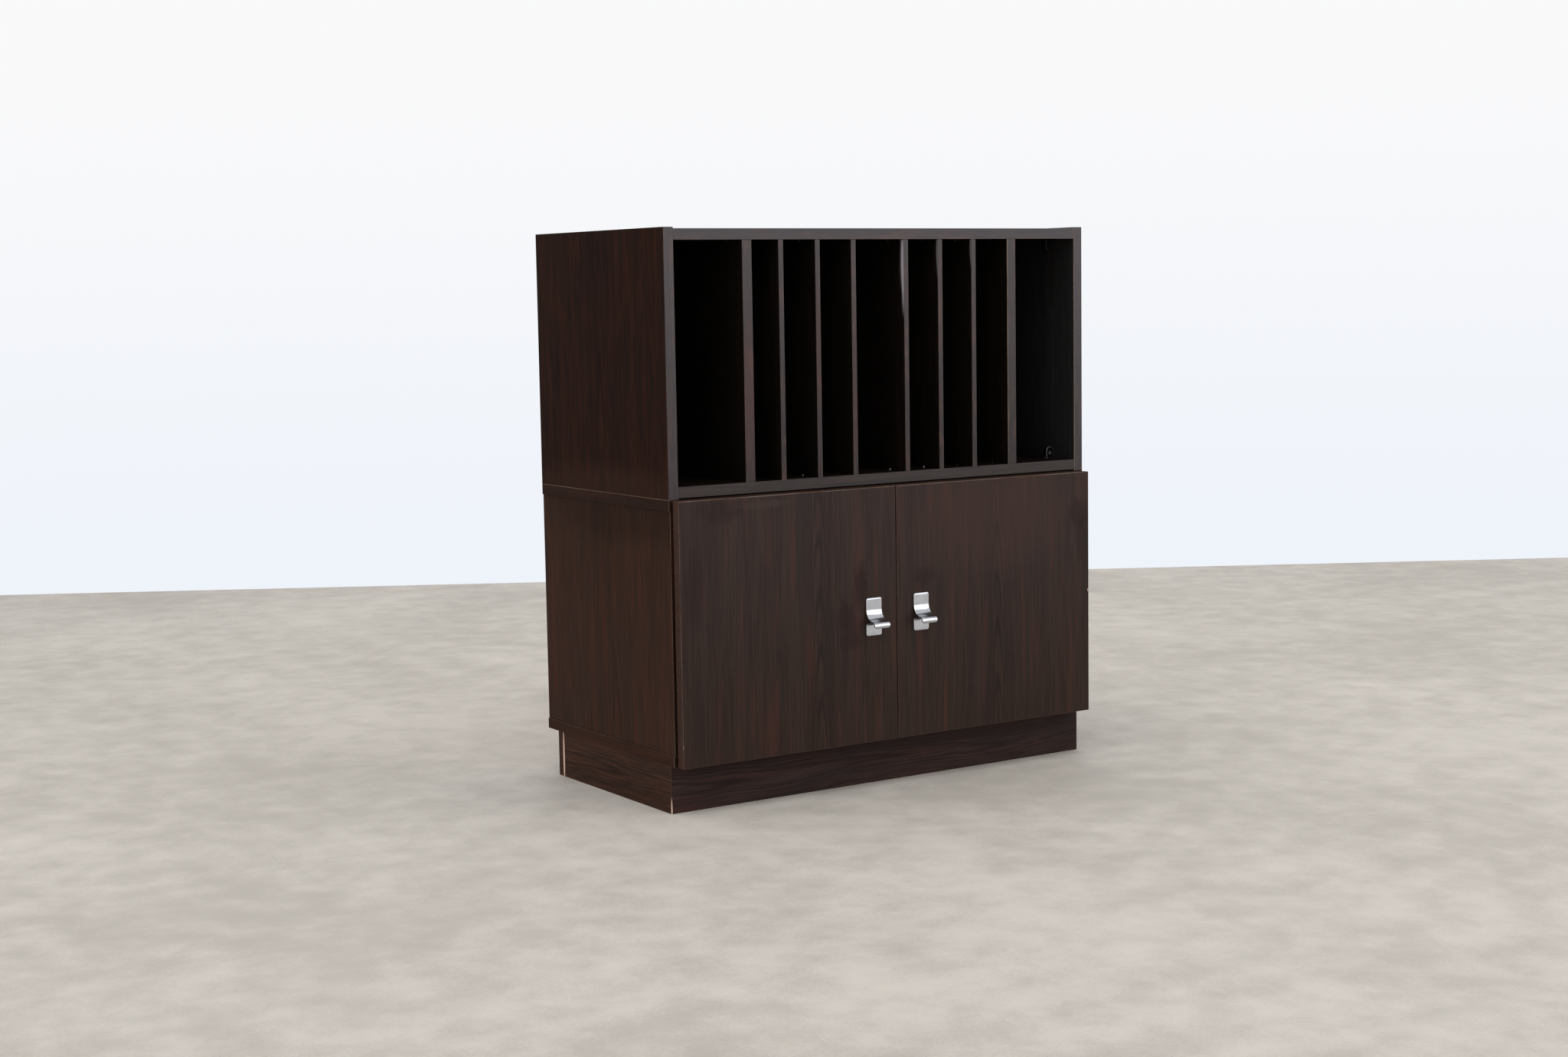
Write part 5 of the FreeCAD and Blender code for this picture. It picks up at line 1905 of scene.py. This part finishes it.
@dataclass
class Studio:
    """Pale floor, white surroundings, the camera, and two soft lamps: place, size and watts."""

    eye: Point = (-2.0212, -2.96475, 0.7506)
    yaw: float = math.radians(33.275)
    pitch: float = math.radians(5.977)
    roll: float = math.radians(-0.937)
    focal_pixels: float = 3002.4
    sensor: float = 36.0
    wall_at: float = 2.742
    wall_slope: float = -0.573
    floor_reach: float = 9.0
    white: Colour = (249, 249, 250)
    low_white: Colour = (239, 243, 250)
    ceiling: Colour = (226, 225, 224)
    surround: float = 0.75
    aim: Point = (0.0, 0.0, 0.45)
    key: tuple[Point, float, float] = ((5.08, -7.12, 3.04), 6.0, 186.0)
    overhead: tuple[Point, float, float] = ((-0.5, -0.8, 4.6), 5.0, 105.0)

    def camera(self) -> bpy.types.Object:
        """Makes the scene's camera.

        Returns:
            The camera.
        """
        data = bpy.data.cameras.new("camera")
        data.sensor_width = self.sensor
        data.lens = self.focal_pixels / IMAGE_SIZE[0] * self.sensor
        level = Vector((math.cos(self.yaw), -math.sin(self.yaw), 0.0))
        ahead = Vector((math.sin(self.yaw), math.cos(self.yaw), 0.0)) * math.cos(self.pitch)
        ahead.z = -math.sin(self.pitch)
        upright = level.cross(ahead)
        right = level * math.cos(self.roll) + upright * math.sin(self.roll)
        up = upright * math.cos(self.roll) - level * math.sin(self.roll)
        turn = Matrix((right, up, -ahead)).transposed().to_4x4()
        camera = put("camera", data)
        camera.matrix_world = Matrix.Translation(self.eye) @ turn
        bpy.context.scene.camera = camera
        return camera

    def floor(self) -> bpy.types.Object:
        """Makes the floor, which ends where a wall would stand behind the cabinet.

        Returns:
            The floor.
        """
        reach = self.floor_reach
        back = [(x, self.wall_at + self.wall_slope * x, 0.0) for x in (-reach, reach)]
        front = [(reach, -reach, 0.0), (-reach, -reach, 0.0)]
        mesh = bpy.data.meshes.new("floor")
        mesh.from_pydata([back[0], *reversed(front), back[1]], [], [(0, 1, 2, 3)])
        mesh.materials.append(Concrete("floor_concrete", 3.0).material())
        floor = put("floor", mesh)
        return floor

    def surroundings(self) -> None:
        """White to the camera and to mirrors, softer as a light."""
        world = bpy.data.worlds.new("surroundings")
        bpy.context.scene.world = world
        world.use_nodes = True
        world.node_tree.nodes.clear()
        wiring = Wiring(world.node_tree)
        path = wiring.add("ShaderNodeLightPath")
        seen = wiring.math("MAXIMUM", path.outputs["Is Camera Ray"], path.outputs["Is Glossy Ray"])
        seen = wiring.math("MAXIMUM", seen, path.outputs["Is Transmission Ray"])
        light = wiring.add("ShaderNodeBackground", {"Color": (255, 255, 255), "Strength": self.surround})
        height = wiring.split(wiring.add("ShaderNodeTexCoord").outputs["Generated"])[2]
        wall = wiring.blend(wiring.span(height, -0.12, 0.1), self.low_white, self.white)
        wall = wiring.blend(wiring.span(height, 0.35, 0.6), wall, self.ceiling)
        white = wiring.add("ShaderNodeBackground", {"Color": wall, "Strength": 1.0})
        both = wiring.add("ShaderNodeMixShader", {0: seen, 1: light.outputs[0], 2: white.outputs[0]})
        wiring.add("ShaderNodeOutputWorld", {"Surface": both.outputs[0]})

    def lamp(self, name: str, place: Point, size: float, watts: float) -> bpy.types.Object:
        """Makes a soft square lamp that looks at the cabinet.

        Args:
            name: Its name.
            place: Its middle.
            size: Its side.
            watts: Its power.

        Returns:
            The lamp.
        """
        data = bpy.data.lights.new(name, "AREA")
        data.shape, data.size, data.energy = "SQUARE", size, watts
        lamp = put(name, data)
        lamp.location = place
        lamp.rotation_euler = (Vector(self.aim) - Vector(place)).to_track_quat("-Z", "Y").to_euler()
        return lamp

    def build(self) -> None:
        """Sets up the whole studio."""
        self.camera()
        self.floor()
        self.surroundings()
        self.lamp("key", *self.key)
        self.lamp("overhead", *self.overhead).visible_glossy = False
        bpy.context.scene.view_settings.view_transform = "Standard"


# ---- Assembly --------------------------------------------------------------------------------


def main() -> None:
    """Builds every sub-assembly in order, and reports the pieces of each."""
    logging.basicConfig(level=logging.INFO, format="%(name)s: %(message)s")
    parts: Iterable[Any] = (
        UpperCase(), Uprights(), LowerCase(), Plinth(),
        Door("left", LEFT_DOOR_MARKS, -0.14, 91.0), Door("right", RIGHT_DOOR_MARKS_AND_LIGHT, 0.193, 92.0),
        Hardware(),
    )
    for part in parts:
        for piece in part.build():
            LOG.info("%s: %s, %d faces", type(part).__name__, piece.name, len(piece.data.polygons))
    Studio().build()


if __name__ == "__main__":
    main()
